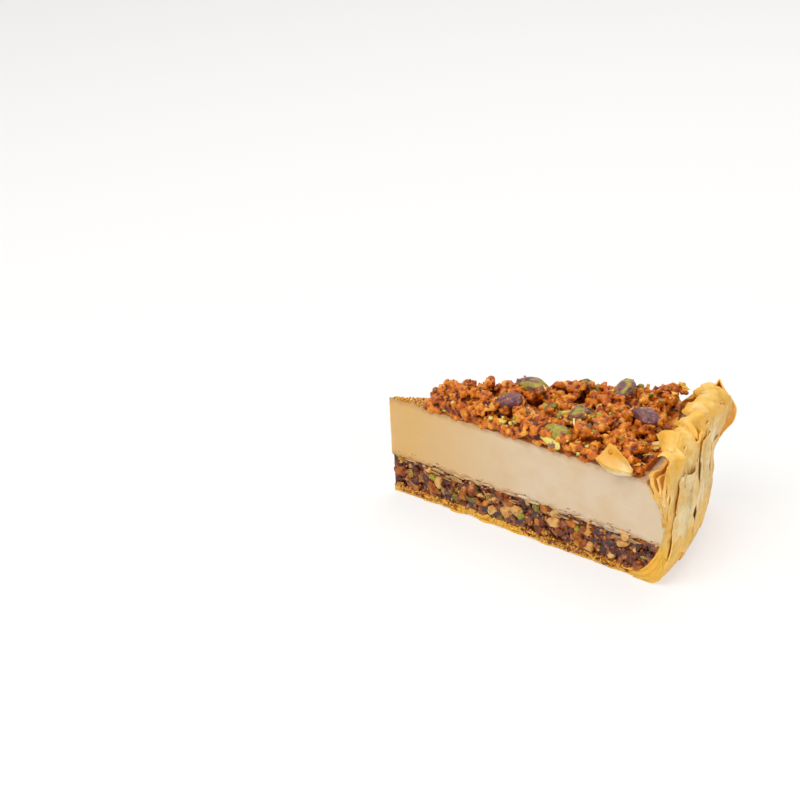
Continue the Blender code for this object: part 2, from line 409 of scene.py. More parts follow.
def baked_phyllo(colours):
    """Phyllo brushed with butter and baked: paper-thin leaves, pale where they lift, toasted where
    they catch the heat, so each leaf varies from cream to amber and lets a little light through."""
    material, tree, shader, place = new_material("phyllo, buttered and baked")
    patches = add(tree, "ShaderNodeTexNoise", {"Vector": place, "Scale": 1 / (11 * MM), "Detail": 5.0})
    specks = add(tree, "ShaderNodeTexNoise", {"Vector": place, "Scale": 1 / (2.2 * MM), "Detail": 6.0})
    toast = add(tree, "ShaderNodeAttribute", attribute_name="toast")
    mixed = add(
        tree, "ShaderNodeMath", {0: patches.outputs["Fac"], 1: specks.outputs["Fac"]}, operation="ADD"
    )
    level = add(
        tree, "ShaderNodeMath",
        {0: mixed.outputs[0], 1: 0.62, 2: toast.outputs["Fac"]}, operation="MULTIPLY_ADD",
    )
    ramp = add(
        tree, "ShaderNodeValToRGB", {"Fac": level.outputs[0]},
        stops=[
            (0.36, colours.phyllo_pale), (0.56, colours.phyllo_gold), (0.8, colours.phyllo_amber),
            (1.0, colours.phyllo_toasted),
        ],
    )
    butter = add(tree, "ShaderNodeAttribute", attribute_name="butter")
    buttered = add(
        tree, "ShaderNodeMix",
        {0: butter.outputs["Fac"], 6: ramp.outputs["Color"], 7: colours.phyllo_butter}, data_type="RGBA",
    )
    wrinkles = add(
        tree, "ShaderNodeTexNoise",
        {"Vector": place, "Scale": 1 / (1.6 * MM), "Detail": 6.0, "Roughness": 0.65, "Distortion": 0.6},
    )
    bump = add(
        tree, "ShaderNodeBump",
        {"Height": wrinkles.outputs["Fac"], "Strength": 0.55, "Distance": 0.35 * MM},
    )
    gloss = add(
        tree, "ShaderNodeMapRange", {"Value": specks.outputs["Fac"], "To Min": 0.34, "To Max": 0.62}
    )
    tree.links.new(buttered.outputs[2], shader.inputs["Base Color"])
    tree.links.new(gloss.outputs["Result"], shader.inputs["Roughness"])
    tree.links.new(bump.outputs["Normal"], shader.inputs["Normal"])
    shader.inputs["Subsurface Weight"].default_value = 0.35
    shader.inputs["Subsurface Radius"].default_value = (1.0, 0.55, 0.2)
    shader.inputs["Subsurface Scale"].default_value = 2.2 * MM
    shader.inputs["IOR"].default_value = 1.45
    return material


def baked_cream_cheese(colours):
    """Cream cheese baked and cut cold with a knife: dense and faintly translucent, with fine drag
    lines along the cut, yellower at the thin tip and stained by syrup at its top and bottom."""
    material, tree, shader, place = new_material("cream cheese, baked and cut")
    split = add(tree, "ShaderNodeSeparateXYZ", {"Vector": place})
    along = add(
        tree, "ShaderNodeMapRange",
        {"Value": split.outputs["X"], "From Min": CREAM_LOW.x, "From Max": CREAM_LOW.x + 75 * MM},
        interpolation_type="SMOOTHSTEP",
    )
    body = add(
        tree, "ShaderNodeMix",
        {0: along.outputs["Result"], 6: colours.cream_tip, 7: colours.cream_body}, data_type="RGBA",
    )
    clouds = add(tree, "ShaderNodeTexNoise", {"Vector": place, "Scale": 1 / (9 * MM), "Detail": 4.0})
    cloudy = add(
        tree, "ShaderNodeMapRange",
        {"Value": clouds.outputs["Fac"], "From Min": 0.42, "From Max": 0.72, "To Max": 0.55},
    )
    mottled = add(
        tree, "ShaderNodeMix",
        {0: cloudy.outputs["Result"], 6: body.outputs[2], 7: colours.cream_shade}, data_type="RGBA",
    )
    soak = add(tree, "ShaderNodeTexNoise", {"Vector": place, "Scale": 1 / (3.5 * MM), "Detail": 5.0})
    ragged = add(
        tree, "ShaderNodeMath", {0: soak.outputs["Fac"], 1: 5 * MM, 2: split.outputs["Z"]},
        operation="MULTIPLY_ADD",
    )
    low_soak = add(
        tree, "ShaderNodeMapRange",
        {"Value": ragged.outputs[0], "From Min": FILLING_TOP + 1.4 * MM, "From Max": FILLING_TOP + 4.4 * MM,
         "To Min": 0.85, "To Max": 0.0},
    )
    high_soak = add(
        tree, "ShaderNodeMapRange",
        {"Value": ragged.outputs[0], "From Min": CREAM_TOP + 0.4 * MM, "From Max": CREAM_TOP + 3.4 * MM,
         "To Max": 0.75},
    )
    soaked = add(
        tree, "ShaderNodeMath", {0: low_soak.outputs["Result"], 1: high_soak.outputs["Result"]},
        operation="MAXIMUM",
    )
    stained = add(
        tree, "ShaderNodeMix",
        {0: soaked.outputs[0], 6: mottled.outputs[2], 7: colours.cream_stain}, data_type="RGBA",
    )
    drawn = add(tree, "ShaderNodeMapping", {"Vector": place, "Scale": (0.12, 0.12, 1.0)})
    drag = add(
        tree, "ShaderNodeTexNoise",
        {"Vector": drawn.outputs[0], "Scale": 1 / (0.9 * MM), "Detail": 5.0, "Roughness": 0.6},
    )
    curds = add(tree, "ShaderNodeTexNoise", {"Vector": place, "Scale": 1 / (1.3 * MM), "Detail": 6.0})
    relief = add(
        tree, "ShaderNodeMath", {0: drag.outputs["Fac"], 1: curds.outputs["Fac"]}, operation="ADD"
    )
    bump = add(
        tree, "ShaderNodeBump", {"Height": relief.outputs[0], "Strength": 0.35, "Distance": 0.25 * MM}
    )
    gloss = add(
        tree, "ShaderNodeMapRange", {"Value": drag.outputs["Fac"], "To Min": 0.38, "To Max": 0.62}
    )
    tree.links.new(stained.outputs[2], shader.inputs["Base Color"])
    tree.links.new(gloss.outputs["Result"], shader.inputs["Roughness"])
    tree.links.new(bump.outputs["Normal"], shader.inputs["Normal"])
    shader.inputs["Subsurface Weight"].default_value = 0.5
    shader.inputs["Subsurface Radius"].default_value = (1.0, 0.7, 0.4)
    shader.inputs["Subsurface Scale"].default_value = 2.5 * MM
    shader.inputs["IOR"].default_value = 1.42
    return material


def grained_food(name, steps, grain, roughness, coat, relief, glow, shine=0.5):
    """Nuts, crumble or syrup: tint, hollows and grain pick the colour from dark to light.

    Each bit's tint differs, hollows get painted shade, bumps a painted highlight, and fine grain breaks up
    its gloss.
    """
    material, tree, shader, place = new_material(name)
    tint = add(tree, "ShaderNodeAttribute", attribute_name="tint")
    relief_shade = add(tree, "ShaderNodeAttribute", attribute_name="relief_shade")
    coarse = add(
        tree, "ShaderNodeTexNoise",
        {"Vector": place, "Scale": 1 / grain, "Detail": 6.0, "Roughness": 0.62},
    )
    spread = add(
        tree, "ShaderNodeMapRange",
        {"Value": coarse.outputs["Fac"], "From Min": 0.3, "From Max": 0.7, "To Min": -0.28, "To Max": 0.28},
    )
    lit = add(
        tree, "ShaderNodeMath", {0: tint.outputs["Fac"], 1: spread.outputs["Result"]}, operation="ADD"
    )
    # Painted shade and highlight: the relief shade darkens the colour in hollows and lightens it a little
    # on bumps.
    level = add(
        tree, "ShaderNodeMath", {0: lit.outputs[0], 1: relief_shade.outputs["Fac"]}, operation="SUBTRACT"
    )
    ramp = add(
        tree, "ShaderNodeValToRGB", {"Fac": level.outputs[0]},
        stops=list(zip(np.linspace(0, 1, len(steps)), steps)),
    )
    fine = add(
        tree, "ShaderNodeTexNoise",
        {"Vector": place, "Scale": 3 / grain, "Detail": 5.0, "Roughness": 0.6},
    )
    bump = add(
        tree, "ShaderNodeBump", {"Height": fine.outputs["Fac"], "Strength": 0.6, "Distance": relief}
    )
    gloss = add(
        tree, "ShaderNodeMapRange",
        {"Value": fine.outputs["Fac"], "From Min": 0.35, "From Max": 0.65,
         "To Min": roughness - 0.14, "To Max": roughness + 0.14},
    )
    tree.links.new(ramp.outputs["Color"], shader.inputs["Base Color"])
    tree.links.new(gloss.outputs["Result"], shader.inputs["Roughness"])
    tree.links.new(bump.outputs["Normal"], shader.inputs["Normal"])
    shader.inputs["Specular IOR Level"].default_value = shine
    shader.inputs["Coat Weight"].default_value = coat
    shader.inputs["Coat Roughness"].default_value = 0.25
    shader.inputs["Subsurface Weight"].default_value = glow
    shader.inputs["Subsurface Radius"].default_value = (1.0, 0.5, 0.25)
    shader.inputs["Subsurface Scale"].default_value = 1.0 * MM
    shader.inputs["IOR"].default_value = 1.47
    return material


def caramel_crumble(colours):
    """Ground nuts stirred into hot caramel: dull on the sugary tops, with painted shade darkening every
    gap.
    """
    steps = [
        colours.crumble_dark, colours.crumble_brown, colours.crumble_caramel, colours.crumble_gold,
        colours.crumble_light,
    ]
    name = "caramel, cooked round ground nuts"
    return grained_food(name, steps, 1.3 * MM, 0.42, 0.1, 0.22 * MM, 0.1, 0.3)


def soaked_walnut(colours):
    """Chopped walnut that lay in syrup: from nearly black skins to pale cut faces, and wet all over."""
    steps = [colours.nut_dark, colours.nut_brown, colours.nut_tan, colours.nut_pale]
    name = "walnut, chopped and soaked in syrup"
    return grained_food(name, steps, 2.4 * MM, 0.36, 0.2, 0.2 * MM, 0.0, 0.35)


def honey_syrup(colours):
    """Honey syrup set round ground nuts: a dark glossy mass that fills between the larger bits."""
    steps = [colours.nut_dark, colours.nut_dark, colours.nut_brown, colours.nut_tan]
    return grained_food("honey syrup, set round ground nuts", steps, 1.6 * MM, 0.3, 0.5, 0.25 * MM, 0.0)


def glazed_walnut(colours):
    """Chopped walnut under a thin glaze of sugar: pale and satin, browner in its wrinkles."""
    steps = [colours.nut_brown, colours.crumble_gold, colours.nut_pale, colours.crumble_light]
    return grained_food("walnut, chopped and glazed", steps, 2.0 * MM, 0.4, 0.2, 0.15 * MM, 0.15)


def shredded_almond(colours):
    """Slivers of blanched almond, cut with a blade: pale, dry and nearly matte."""
    steps = [colours.nut_pale, colours.sliver, colours.sliver]
    return grained_food("almond, blanched and slivered", steps, 1.5 * MM, 0.5, 0.0, 0.08 * MM, 0.2)


def pistachio_kernel(colours):
    """A pistachio kernel: waxy green flesh, with a papery purple-brown skin that flakes off it."""
    material, tree, shader, place = new_material("pistachio, shelled and roasted")
    skin = add(tree, "ShaderNodeAttribute", attribute_name="skin")
    tint = add(tree, "ShaderNodeAttribute", attribute_name="tint")
    grain = add(
        tree, "ShaderNodeTexNoise",
        {"Vector": place, "Scale": 1 / (1.3 * MM), "Detail": 7.0, "Roughness": 0.68},
    )
    shade = add(
        tree, "ShaderNodeMath", {0: grain.outputs["Fac"], 1: tint.outputs["Fac"]}, operation="ADD"
    )
    flesh = add(
        tree, "ShaderNodeValToRGB", {"Fac": shade.outputs[0]},
        stops=[(0.45, colours.green_dark), (0.85, colours.green), (1.0, colours.green_pale)],
    )
    husk = add(
        tree, "ShaderNodeValToRGB", {"Fac": grain.outputs["Fac"]},
        stops=[(0.38, colours.skin_dark), (0.53, colours.skin), (0.64, colours.skin_worn)],
    )
    torn = add(
        tree, "ShaderNodeMath", {0: skin.outputs["Fac"], 1: grain.outputs["Fac"]}, operation="ADD"
    )
    edge = add(
        tree, "ShaderNodeMapRange", {"Value": torn.outputs[0], "From Min": 0.94, "From Max": 1.04}
    )
    both = add(
        tree, "ShaderNodeMix",
        {0: edge.outputs["Result"], 6: flesh.outputs["Color"], 7: husk.outputs["Color"]},
        data_type="RGBA",
    )
    bump = add(
        tree, "ShaderNodeBump", {"Height": torn.outputs[0], "Strength": 0.8, "Distance": 0.5 * MM}
    )
    tree.links.new(both.outputs[2], shader.inputs["Base Color"])
    tree.links.new(bump.outputs["Normal"], shader.inputs["Normal"])
    shader.inputs["Roughness"].default_value = 0.45
    shader.inputs["Coat Weight"].default_value = 0.12
    shader.inputs["Coat Roughness"].default_value = 0.3
    shader.inputs["Subsurface Weight"].default_value = 0.15
    shader.inputs["Subsurface Radius"].default_value = (0.6, 1.0, 0.2)
    shader.inputs["Subsurface Scale"].default_value = 1.2 * MM
    return material


def seen_directly(tree, path):
    """1 for what the camera sees straight on, in a reflection or through something, and else 0."""
    mirrored = add(
        tree, "ShaderNodeMath",
        {0: path.outputs["Is Camera Ray"], 1: path.outputs["Is Glossy Ray"]}, operation="MAXIMUM",
    )
    return add(
        tree, "ShaderNodeMath",
        {0: mirrored.outputs[0], 1: path.outputs["Is Transmission Ray"]}, operation="MAXIMUM",
    ).outputs[0]


def paper_floor():
    """White card: plain and matte, and bright enough to be a white background round the shadow."""
    material, tree, shader, _ = new_material("card, white and matte")
    shader.inputs["Base Color"].default_value = srgb("#f4f2ef")
    shader.inputs["Roughness"].default_value = 0.9
    glow = add(tree, "ShaderNodeEmission", {"Color": srgb("#ffffff"), "Strength": 1.0})
    path = add(tree, "ShaderNodeLightPath")
    seen = add(
        tree, "ShaderNodeMath", {0: seen_directly(tree, path), 1: FLOOR_GLOW}, operation="MULTIPLY"
    )
    mix = add(
        tree, "ShaderNodeMixShader",
        {0: seen.outputs[0], 1: shader.outputs["BSDF"], 2: glow.outputs["Emission"]},
    )
    tree.links.new(mix.outputs["Shader"], tree.nodes["Material Output"].inputs["Surface"])
    return material


# ---------------------------------------------------------------- properties

def length(name, description, value):
    return bpy.props.FloatProperty(
        name=name, description=description, default=value, min=0, subtype="DISTANCE", unit="LENGTH"
    )


def colour(name, description, code):
    return bpy.props.FloatVectorProperty(
        name=name, description=description, default=srgb(code), size=4, min=0, max=1, subtype="COLOR"
    )


class SliceSizes(bpy.types.PropertyGroup):
    leaf_thickness: length("Leaf thickness", "Thickness of one baked phyllo leaf", 0.35 * MM)
    crumple_size: length("Crumple size", "Distance between the wall leaves' creases", 11 * MM)
    crumple_depth: length("Crumple depth", "How far the creases stand out", 1.4 * MM)
    pleat_length: length("Pleat length", "One fold in and out along the rim", 16 * MM)
    pleat_depth: length("Pleat depth", "How far a fold of the rim swings in and out", 2.4 * MM)
    lump_size: length("Lump size", "Radius of the crumble's larger lumps", 3.3 * MM)
    grain_size: length("Grain size", "Radius of the nodules that a lump is made of", 1.3 * MM)
    nut_size: length("Nut size", "Radius of the larger chopped nuts in the filling", 3.1 * MM)


class SliceColours(bpy.types.PropertyGroup):
    phyllo_pale: colour("Phyllo, pale", "Leaves that lift away from the cake", "#f3dcae")
    phyllo_gold: colour("Phyllo, golden", "Most of the baked leaves", "#e8c07c")
    phyllo_amber: colour("Phyllo, amber", "Folds that browned", "#dfa243")
    phyllo_toasted: colour("Phyllo, toasted", "Edges and cut leaves that browned most", "#b5691c")
    phyllo_butter: colour("Phyllo, buttery", "Leaves that soaked up most butter", "#f2b233")
    cream_body: colour("Cream", "Most of the baked cream", "#d6c2a6")
    cream_tip: colour("Cream at the tip", "The thin end, browned a little", "#d3aa66")
    cream_shade: colour("Cream, shaded", "Clouds in the cream", "#cfb083")
    cream_stain: colour("Cream, stained", "Where syrup soaks in", "#a9753a")
    # crumble_dark also serves as the painted shade in the crumble's hollows.
    crumble_dark: colour("Crumble, dark", "Syrup in the hollows", "#471201")
    crumble_brown: colour("Crumble, brown", "Dark caramel", "#8a3a03")
    crumble_caramel: colour("Crumble, caramel", "Most of the crumble", "#bb5b08")
    crumble_gold: colour("Crumble, golden", "Light lumps", "#d0760a")
    # crumble_light is partly a painted highlight on the bumps of the crumble.
    crumble_light: colour("Crumble, light", "Sugar on the tops", "#e3a038")
    # nut_dark also serves as the painted shade in the filling core's hollows.
    nut_dark: colour("Filling, dark", "Syrup between the nuts", "#3a0e01")
    nut_brown: colour("Filling, brown", "Syrup-soaked nuts", "#873a02")
    nut_tan: colour("Filling, tan", "Cut nuts", "#c47a16")
    nut_pale: colour("Filling, pale", "The insides of cut nuts", "#d2a865")
    sliver: colour("Almond sliver", "Slivers of blanched almond", "#e9cf94")
    green_dark: colour("Pistachio, dark", "Deep green flesh", "#6b5c12")
    green: colour("Pistachio, green", "Most of the flesh", "#ada02a")
    green_pale: colour("Pistachio, pale", "Cut flesh", "#dccf66")
    skin_dark: colour("Skin, dark", "Purple skin in its folds", "#45202b")
    skin: colour("Skin", "Most of the skin", "#74404a")
    skin_worn: colour("Skin, worn", "Skin rubbed thin", "#9c5f3c")


def sizes():
    return bpy.context.scene.slice_sizes


def colours():
    return bpy.context.scene.slice_colours


def shared_material(make, *words):
    """Makes a material once and hands out the same one after that."""
    key = "slice " + make.__name__ + " ".join(str(word) for word in words)
    if key not in MATERIALS:
        MATERIALS[key] = make(colours(), *words)
    return MATERIALS[key]


MATERIALS = {}


# ---------------------------------------------------------------- the cream and the filling

BARE_FLOOR = 50 * MM  # distance from the axis where the fewest nuts cover the floor's cut edge
CREAM_CELLS = (170, 12, 36)
FILLING_CELLS = (150, 10, 20)


def angle_of(v):
    return (v - 0.5) * 2 * HALF_ANGLE


def off_the_cut(points, v, distance):
    """Moves the points on the two cuts out of their planes by a distance."""
    side = np.where(v > 0.999, 1.0, np.where(v < 0.001, -1.0, 0.0))
    outward = np.stack(
        [-math.sin(HALF_ANGLE) * np.ones_like(v), math.cos(HALF_ANGLE) * side, 0 * v], axis=-1
    )
    return points + outward * (distance * np.abs(side))[:, None]


class SLICE_OT_cream(bpy.types.Operator):
    """Model the baked cream layer, with its knife-drawn faces and ragged lower edge"""

    bl_idname = "slice.cream"
    bl_label = "Cream Layer"

    def execute(self, context):
        def place(u, v, w):
            angle = angle_of(v)
            ragged = flat_bumps(u * 123 * MM, angle, 4.5 * MM, 3)
            ragged += 0.5 * flat_bumps(u * 123 * MM, angle, 1.7 * MM, 8)
            base = FILLING_TOP + 1.5 * MM * ragged
            worn = 0.5 * MM * flat_bumps(u * 123 * MM, angle, 3 * MM, 21)
            height = base + w * (CREAM_TOP + worn - base)
            reach = inner_radius(height) + 0.4 * MM
            radius = TIP_RADIUS + u * (reach - TIP_RADIUS)
            points = row_points(radius, angle, height)
            drag = flat_bumps(u * 123 * MM * 0.12, height, 0.9 * MM, 5)
            swell = flat_bumps(u * 123 * MM, height, 9 * MM, 31)
            near_base = 1 - smoothstep(0, 5 * MM, height - base)
            return off_the_cut(points, v, (0.09 + 0.2 * near_base) * MM * drag + 0.22 * MM * swell)

        piece = block(CREAM_CELLS, place)
        finish_piece(
            piece, "cream", shared_material(baked_cream_cheese), ["cream_cheese_layer"],
            smooth_angle=50,
        )
        return {"FINISHED"}


def cut_spots(rng, count, low, high, margin, sink):
    """Random places on the two cuts: (side, radius, middle in the row frame)."""
    for number in range(count):
        side = -1 if number % 2 else 1
        height = rng.uniform(low, high)
        far = inner_radius(height) - margin
        radius = rng.uniform((2.5 * MM) ** 1.1, far**1.1) ** (1 / 1.1)
        middle = row_points(radius, side * (HALF_ANGLE - sink / radius), height)
        yield side, radius, middle


def drawn_out(rng, side, length, thickness, height):
    """The turn and size of a bit that the knife drew out along a cut."""
    tilt = rng.normal(-0.02, 0.1)
    ahead = np.array([math.cos(HALF_ANGLE), math.sin(HALF_ANGLE) * side, 0])
    outward = np.array([-math.sin(HALF_ANGLE) * side, math.cos(HALF_ANGLE), 0]) * side
    upward = np.array([0, 0, 1.0])
    ahead, upward = ahead + tilt * upward, upward - tilt * ahead
    return np.stack([ahead * length, outward * thickness, upward * height], axis=1)


def flatten_on_cut(points, side, proud):
    """Planes off what stands further than that out of a cut, as the knife does."""
    outward = np.array([-math.sin(HALF_ANGLE), math.cos(HALF_ANGLE) * side, 0])
    over = np.maximum((points - np.array(APEX)) @ outward - proud, 0)
    return points - over[:, None] * outward


class SLICE_OT_filling(bpy.types.Operator):
    """Model the chopped nuts in syrup: a dark core with cut nuts and crumbs set in it"""

    bl_idname = "slice.filling"
    bl_label = "Nut Filling"

    def execute(self, context):
        rng = np.random.default_rng(11)
        self.make_core()
        walnut = shared_material(soaked_walnut)
        size = sizes().nut_size
        bits = [broken_bit(rng, 3, 7) for _ in range(10)]
        low, high = FLOOR_TOP + 1.8 * MM, FILLING_TOP - 0.6 * MM
        spots, sides = [], []
        for side, _, middle in cut_spots(rng, 230, low, high, size, 1.1 * MM):
            shape = random_shape(rng, 0.45, 1.15, size, 0.6)
            kind = rng.choice(3, p=(0.42, 0.36, 0.22))
            spots.append((rng.integers(10), shape, middle, (0.16, 0.48, 0.9)[kind] + rng.normal(0, 0.09)))
            sides.append(side)
        self.heap("filling_walnuts", bits, spots, sides, "nut_filling", walnut, ["nut_filling"], 0.9 * MM)

        spots, sides = [], []
        for side, radius, middle in cut_spots(rng, 80, low, high, size, 1.2 * MM):
            if rng.random() > 1.25 - radius / CAKE_RADIUS:
                continue
            shape = random_turn(rng) * (rng.uniform(0.4, 0.85) * size * np.array([1.35, 0.75, 0.6]))
            spots.append((rng.integers(10), shape, middle, rng.uniform(-0.1, 0.4)))
            sides.append(side)
        green = shared_material(pistachio_kernel)
        self.heap("filling_pistachios", bits, spots, sides, "pistachio", green, [], 1.0 * MM, skin=0.5)

        crumbs = [broken_bit(rng, 2, 6) for _ in range(8)]
        spots, sides = [], []
        for side, _, middle in cut_spots(rng, 950, FLOOR_TOP, FILLING_TOP + 1.2 * MM, 1 * MM, 0.5 * MM):
            shape = random_shape(rng, 0.25, 1.0, MM, 0.6)
            spots.append((rng.integers(8), shape, middle, 0.85 * rng.uniform(0, 1) ** 1.5))
            sides.append(side)
        for side, radius, middle in cut_spots(rng, 620, 1.2 * MM, FLOOR_TOP + 1 * MM, 1 * MM, 0.3 * MM):
            shape = random_shape(rng, 0.3, 1.15, MM, 0.6)
            if abs(radius - BARE_FLOOR) > (16 + 16 * flat_bumps(middle[0], middle[2], 9 * MM, 4)) * MM:
                spots.append((rng.integers(8), shape, middle, rng.uniform(0.2, 0.75)))
                sides.append(side)
        low, high = FILLING_TOP + 0.6 * MM, FILLING_TOP + 2.6 * MM
        for side, _, middle in cut_spots(rng, 95, low, high, 2 * MM, 0.1 * MM):
            shape = drawn_out(rng, side, rng.uniform(0.25, 1.5) * MM, 0.2 * MM, rng.uniform(0.1, 0.28) * MM)
            spots.append((rng.integers(8), shape, middle, rng.uniform(0.25, 0.6)))
            sides.append(side)
        self.heap("filling_crumbs", crumbs, spots, sides, "nut_filling", walnut, [], 1.1 * MM)

        spots, sides = [], []
        low, high = FILLING_TOP - 3 * MM, FILLING_TOP + 1.2 * MM
        for side, radius, middle in cut_spots(rng, 130, low, high, 3 * MM, -0.5 * MM):
            if rng.random() < 0.35 + radius / CAKE_RADIUS:
                length, thickness = rng.uniform(0.8, 3.6) * MM, rng.uniform(0.2, 0.6) * MM
                shape = drawn_out(rng, side, length, 0.35 * MM, thickness)
                spots.append((rng.integers(8), shape, middle, 0.5))
                sides.append(side)
        cream = shared_material(baked_cream_cheese)
        self.heap("cream_smears", crumbs, spots, sides, "cream_cheese", cream, [], 1.2 * MM)
        return {"FINISHED"}

    def heap(self, name, bits, spots, sides, slot, material, nodes, proud, skin=None):
        piece = heap_of(bits, spots)
        counts = [len(bits[spot[0] % len(bits)][0]) for spot in spots]
        side_of = np.repeat(sides, counts)
        points = coordinates(piece)
        for side in (-1, 1):
            chosen = side_of == side
            points[chosen] = flatten_on_cut(points[chosen], side, proud)
        set_coordinates(piece, points)
        set_attribute(piece, "relief_shade", np.zeros(len(points)))
        if skin is not None:
            set_attribute(piece, "skin", skin * bumps(points, 4 * MM, 2) + 0.32)
        finish_piece(piece, name, material, nodes, smooth_angle=40)

    def make_core(self):
        def place(u, v, w):
            angle = angle_of(v)
            height = FLOOR_TOP - 0.5 * MM + w * (FILLING_TOP + 0.8 * MM - FLOOR_TOP)
            reach = inner_radius(height) + 0.5 * MM
            radius = TIP_RADIUS + 1 * MM + u * (reach - TIP_RADIUS - 1 * MM)
            points = row_points(radius, angle, height)
            lumps = bumps(points, 2.6 * MM, 4) + 0.6 * bumps(points, 1.1 * MM, 9)
            return off_the_cut(points, v, (0.75 * lumps - 0.8) * MM)

        piece = block(FILLING_CELLS, place)
        # Painted shade: the core's hollows are darkened, and its bumps lightened as a painted highlight.
        deep = hollow_depth(piece, 5)
        set_attribute(piece, "relief_shade", np.clip(deep / (0.35 * MM), -0.4, 0.6))
        set_attribute(piece, "tint", 0.33 + 0.3 * bumps(coordinates(piece), 5 * MM, 6))
        finish_piece(piece, "filling_core", shared_material(honey_syrup))


# ---------------------------------------------------------------- the pastry

FLOOR_LEAVES = 5
# The wall's own leaves, from outside to inside: how far in each lies (0 to 1), its thickness in mm
# and how far up the wall it reaches (0 to 1).
WALL_LEAVES = [
    (0.0, 0.9, 0.88),
    (0.17, 1.3, 0.92),
    (0.4, 0.9, 0.83),
    (0.7, 1.6, 0.86),
    (1.0, 0.9, 0.79),
]
FLARE_REACH = 6.5 * MM
# Torn leaves stuck round the wall: where they start and end across it (-1 to 1), how far the ends
# slant, their lowest and highest point and how far they lift off it, in mm, and how toasted they are.
TORN_LEAVES = [
    (-1.0, -0.45, 5, 1.5, 50, 0.5, 0.02),
    (-0.62, 0.1, -6, 2.5, 53, 1.1, -0.08),
    (-0.15, 0.6, 7, 2.0, 50, 0.6, 0.04),
    (0.35, 1.0, -5, 2.5, 50, 1.0, -0.06),
    (-0.92, -0.4, 6, 9.0, 42, 1.6, -0.12),
    (0.05, 0.75, -7, 5.0, 36, 1.5, 0.0),
    (-0.3, 0.12, 8, 12, 48, 2.0, -0.14),
]
# Leaves rolled in over the rim: where they start and end across it, the radius of the roll and its
# highest point in mm.
RIM_ROLLS = [
    (-1.0, -0.55, 2.6, 53.5),
    (-0.8, -0.15, 4.8, 56.5),
    (-0.4, 0.2, 3.0, 57.5),
    (-0.05, 0.55, 4.4, 55.5),
    (0.3, 0.85, 3.6, 56.0),
    (0.6, 1.0, 4.6, 55.5),
]
# Leaves that stand at the far corner: the middle's depth in from the rim, the width, the foot, the
# height and the distance in front of the far cut, in mm.
PETALS = [
    (1.2, 15.5, 24, 29.5, 1.0),
    (8.5, 13.0, 34, 17.0, 3.6),
    (3.0, 11.0, 28, 21.0, 2.6),
]


def finish_pastry(piece, name, toast, butter, nodes=()):
    """Finishes a pastry piece: toast and butter say how browned and how yellow its leaves are.

    Leaves near the rim and the foot soaked up more butter, and the rim is darker where it rolls in: painted
    shade.
    """
    points = coordinates(piece)
    radius = np.hypot(*(points[:, :2] - APEX.xy).T)
    height = points[:, 2]
    soaked = 0.5 * smoothstep(38 * MM, 52 * MM, height) + 0.75 * (1 - smoothstep(9 * MM, 28 * MM, height))
    # Painted shade inside the rim's roll, added to the toast.
    roll_shade = smoothstep(6 * MM, 10 * MM, CAKE_RADIUS - radius) * smoothstep(46 * MM, 50 * MM, height)
    blotches = 0.16 * bumps(points, 7 * MM, 1) + 0.1 * bumps(points, 2.4 * MM, 4)
    if toast is not None:
        set_attribute(piece, "toast", toast + blotches + 0.3 * roll_shade)
    set_attribute(piece, "butter", np.clip(butter + soaked + 1.5 * blotches, 0, 0.85))
    finish_piece(piece, name, shared_material(baked_phyllo), nodes, smooth_angle=60)


def ruffle(along, phase):
    """The rim's folds at a distance along it, from about -1 to 1."""
    wander = 0.5 * flat_bumps(along, 0.0, 15 * MM, 4.4) + 0.2 * flat_bumps(along, 0.0, 6 * MM, 1.7)
    turns = along / sizes().pleat_length + wander + phase
    return (zigzag(turns) + 0.45 * zigzag(2.35 * turns + 0.3)) / 1.45


def flare(angle, height, share):
    """How far a leaf leans out near the wall's far corner; share is 0 outside and 1 inside."""
    corner = smoothstep(0.35, 1.0, angle / HALF_ANGLE)
    lean = smoothstep(26 * MM, 43 * MM, height) * (1 - 0.6 * smoothstep(43 * MM, RIM_TOP, height))
    return FLARE_REACH * corner * lean * (1 - share)


def corner_drop(angle):
    """How much lower the rim stands towards its far corner."""
    return 3.5 * MM * smoothstep(0.3, 1.0, angle / HALF_ANGLE)


def folds(along, up, size, seed):
    """The height of leaf that sagged into folds: crumpled cells much taller than they are wide."""
    return creases(along, 0.36 * up, size, seed)


def leaf_edge(along, seed):
    """The torn edge of a leaf: a ragged line with a few deep nicks, from about -1 to 1."""
    slow = flat_bumps(along, 0.0, 7 * MM, seed)
    quick = flat_bumps(along, 0.0, 1.9 * MM, seed + 7)
    return slow + 0.35 * quick


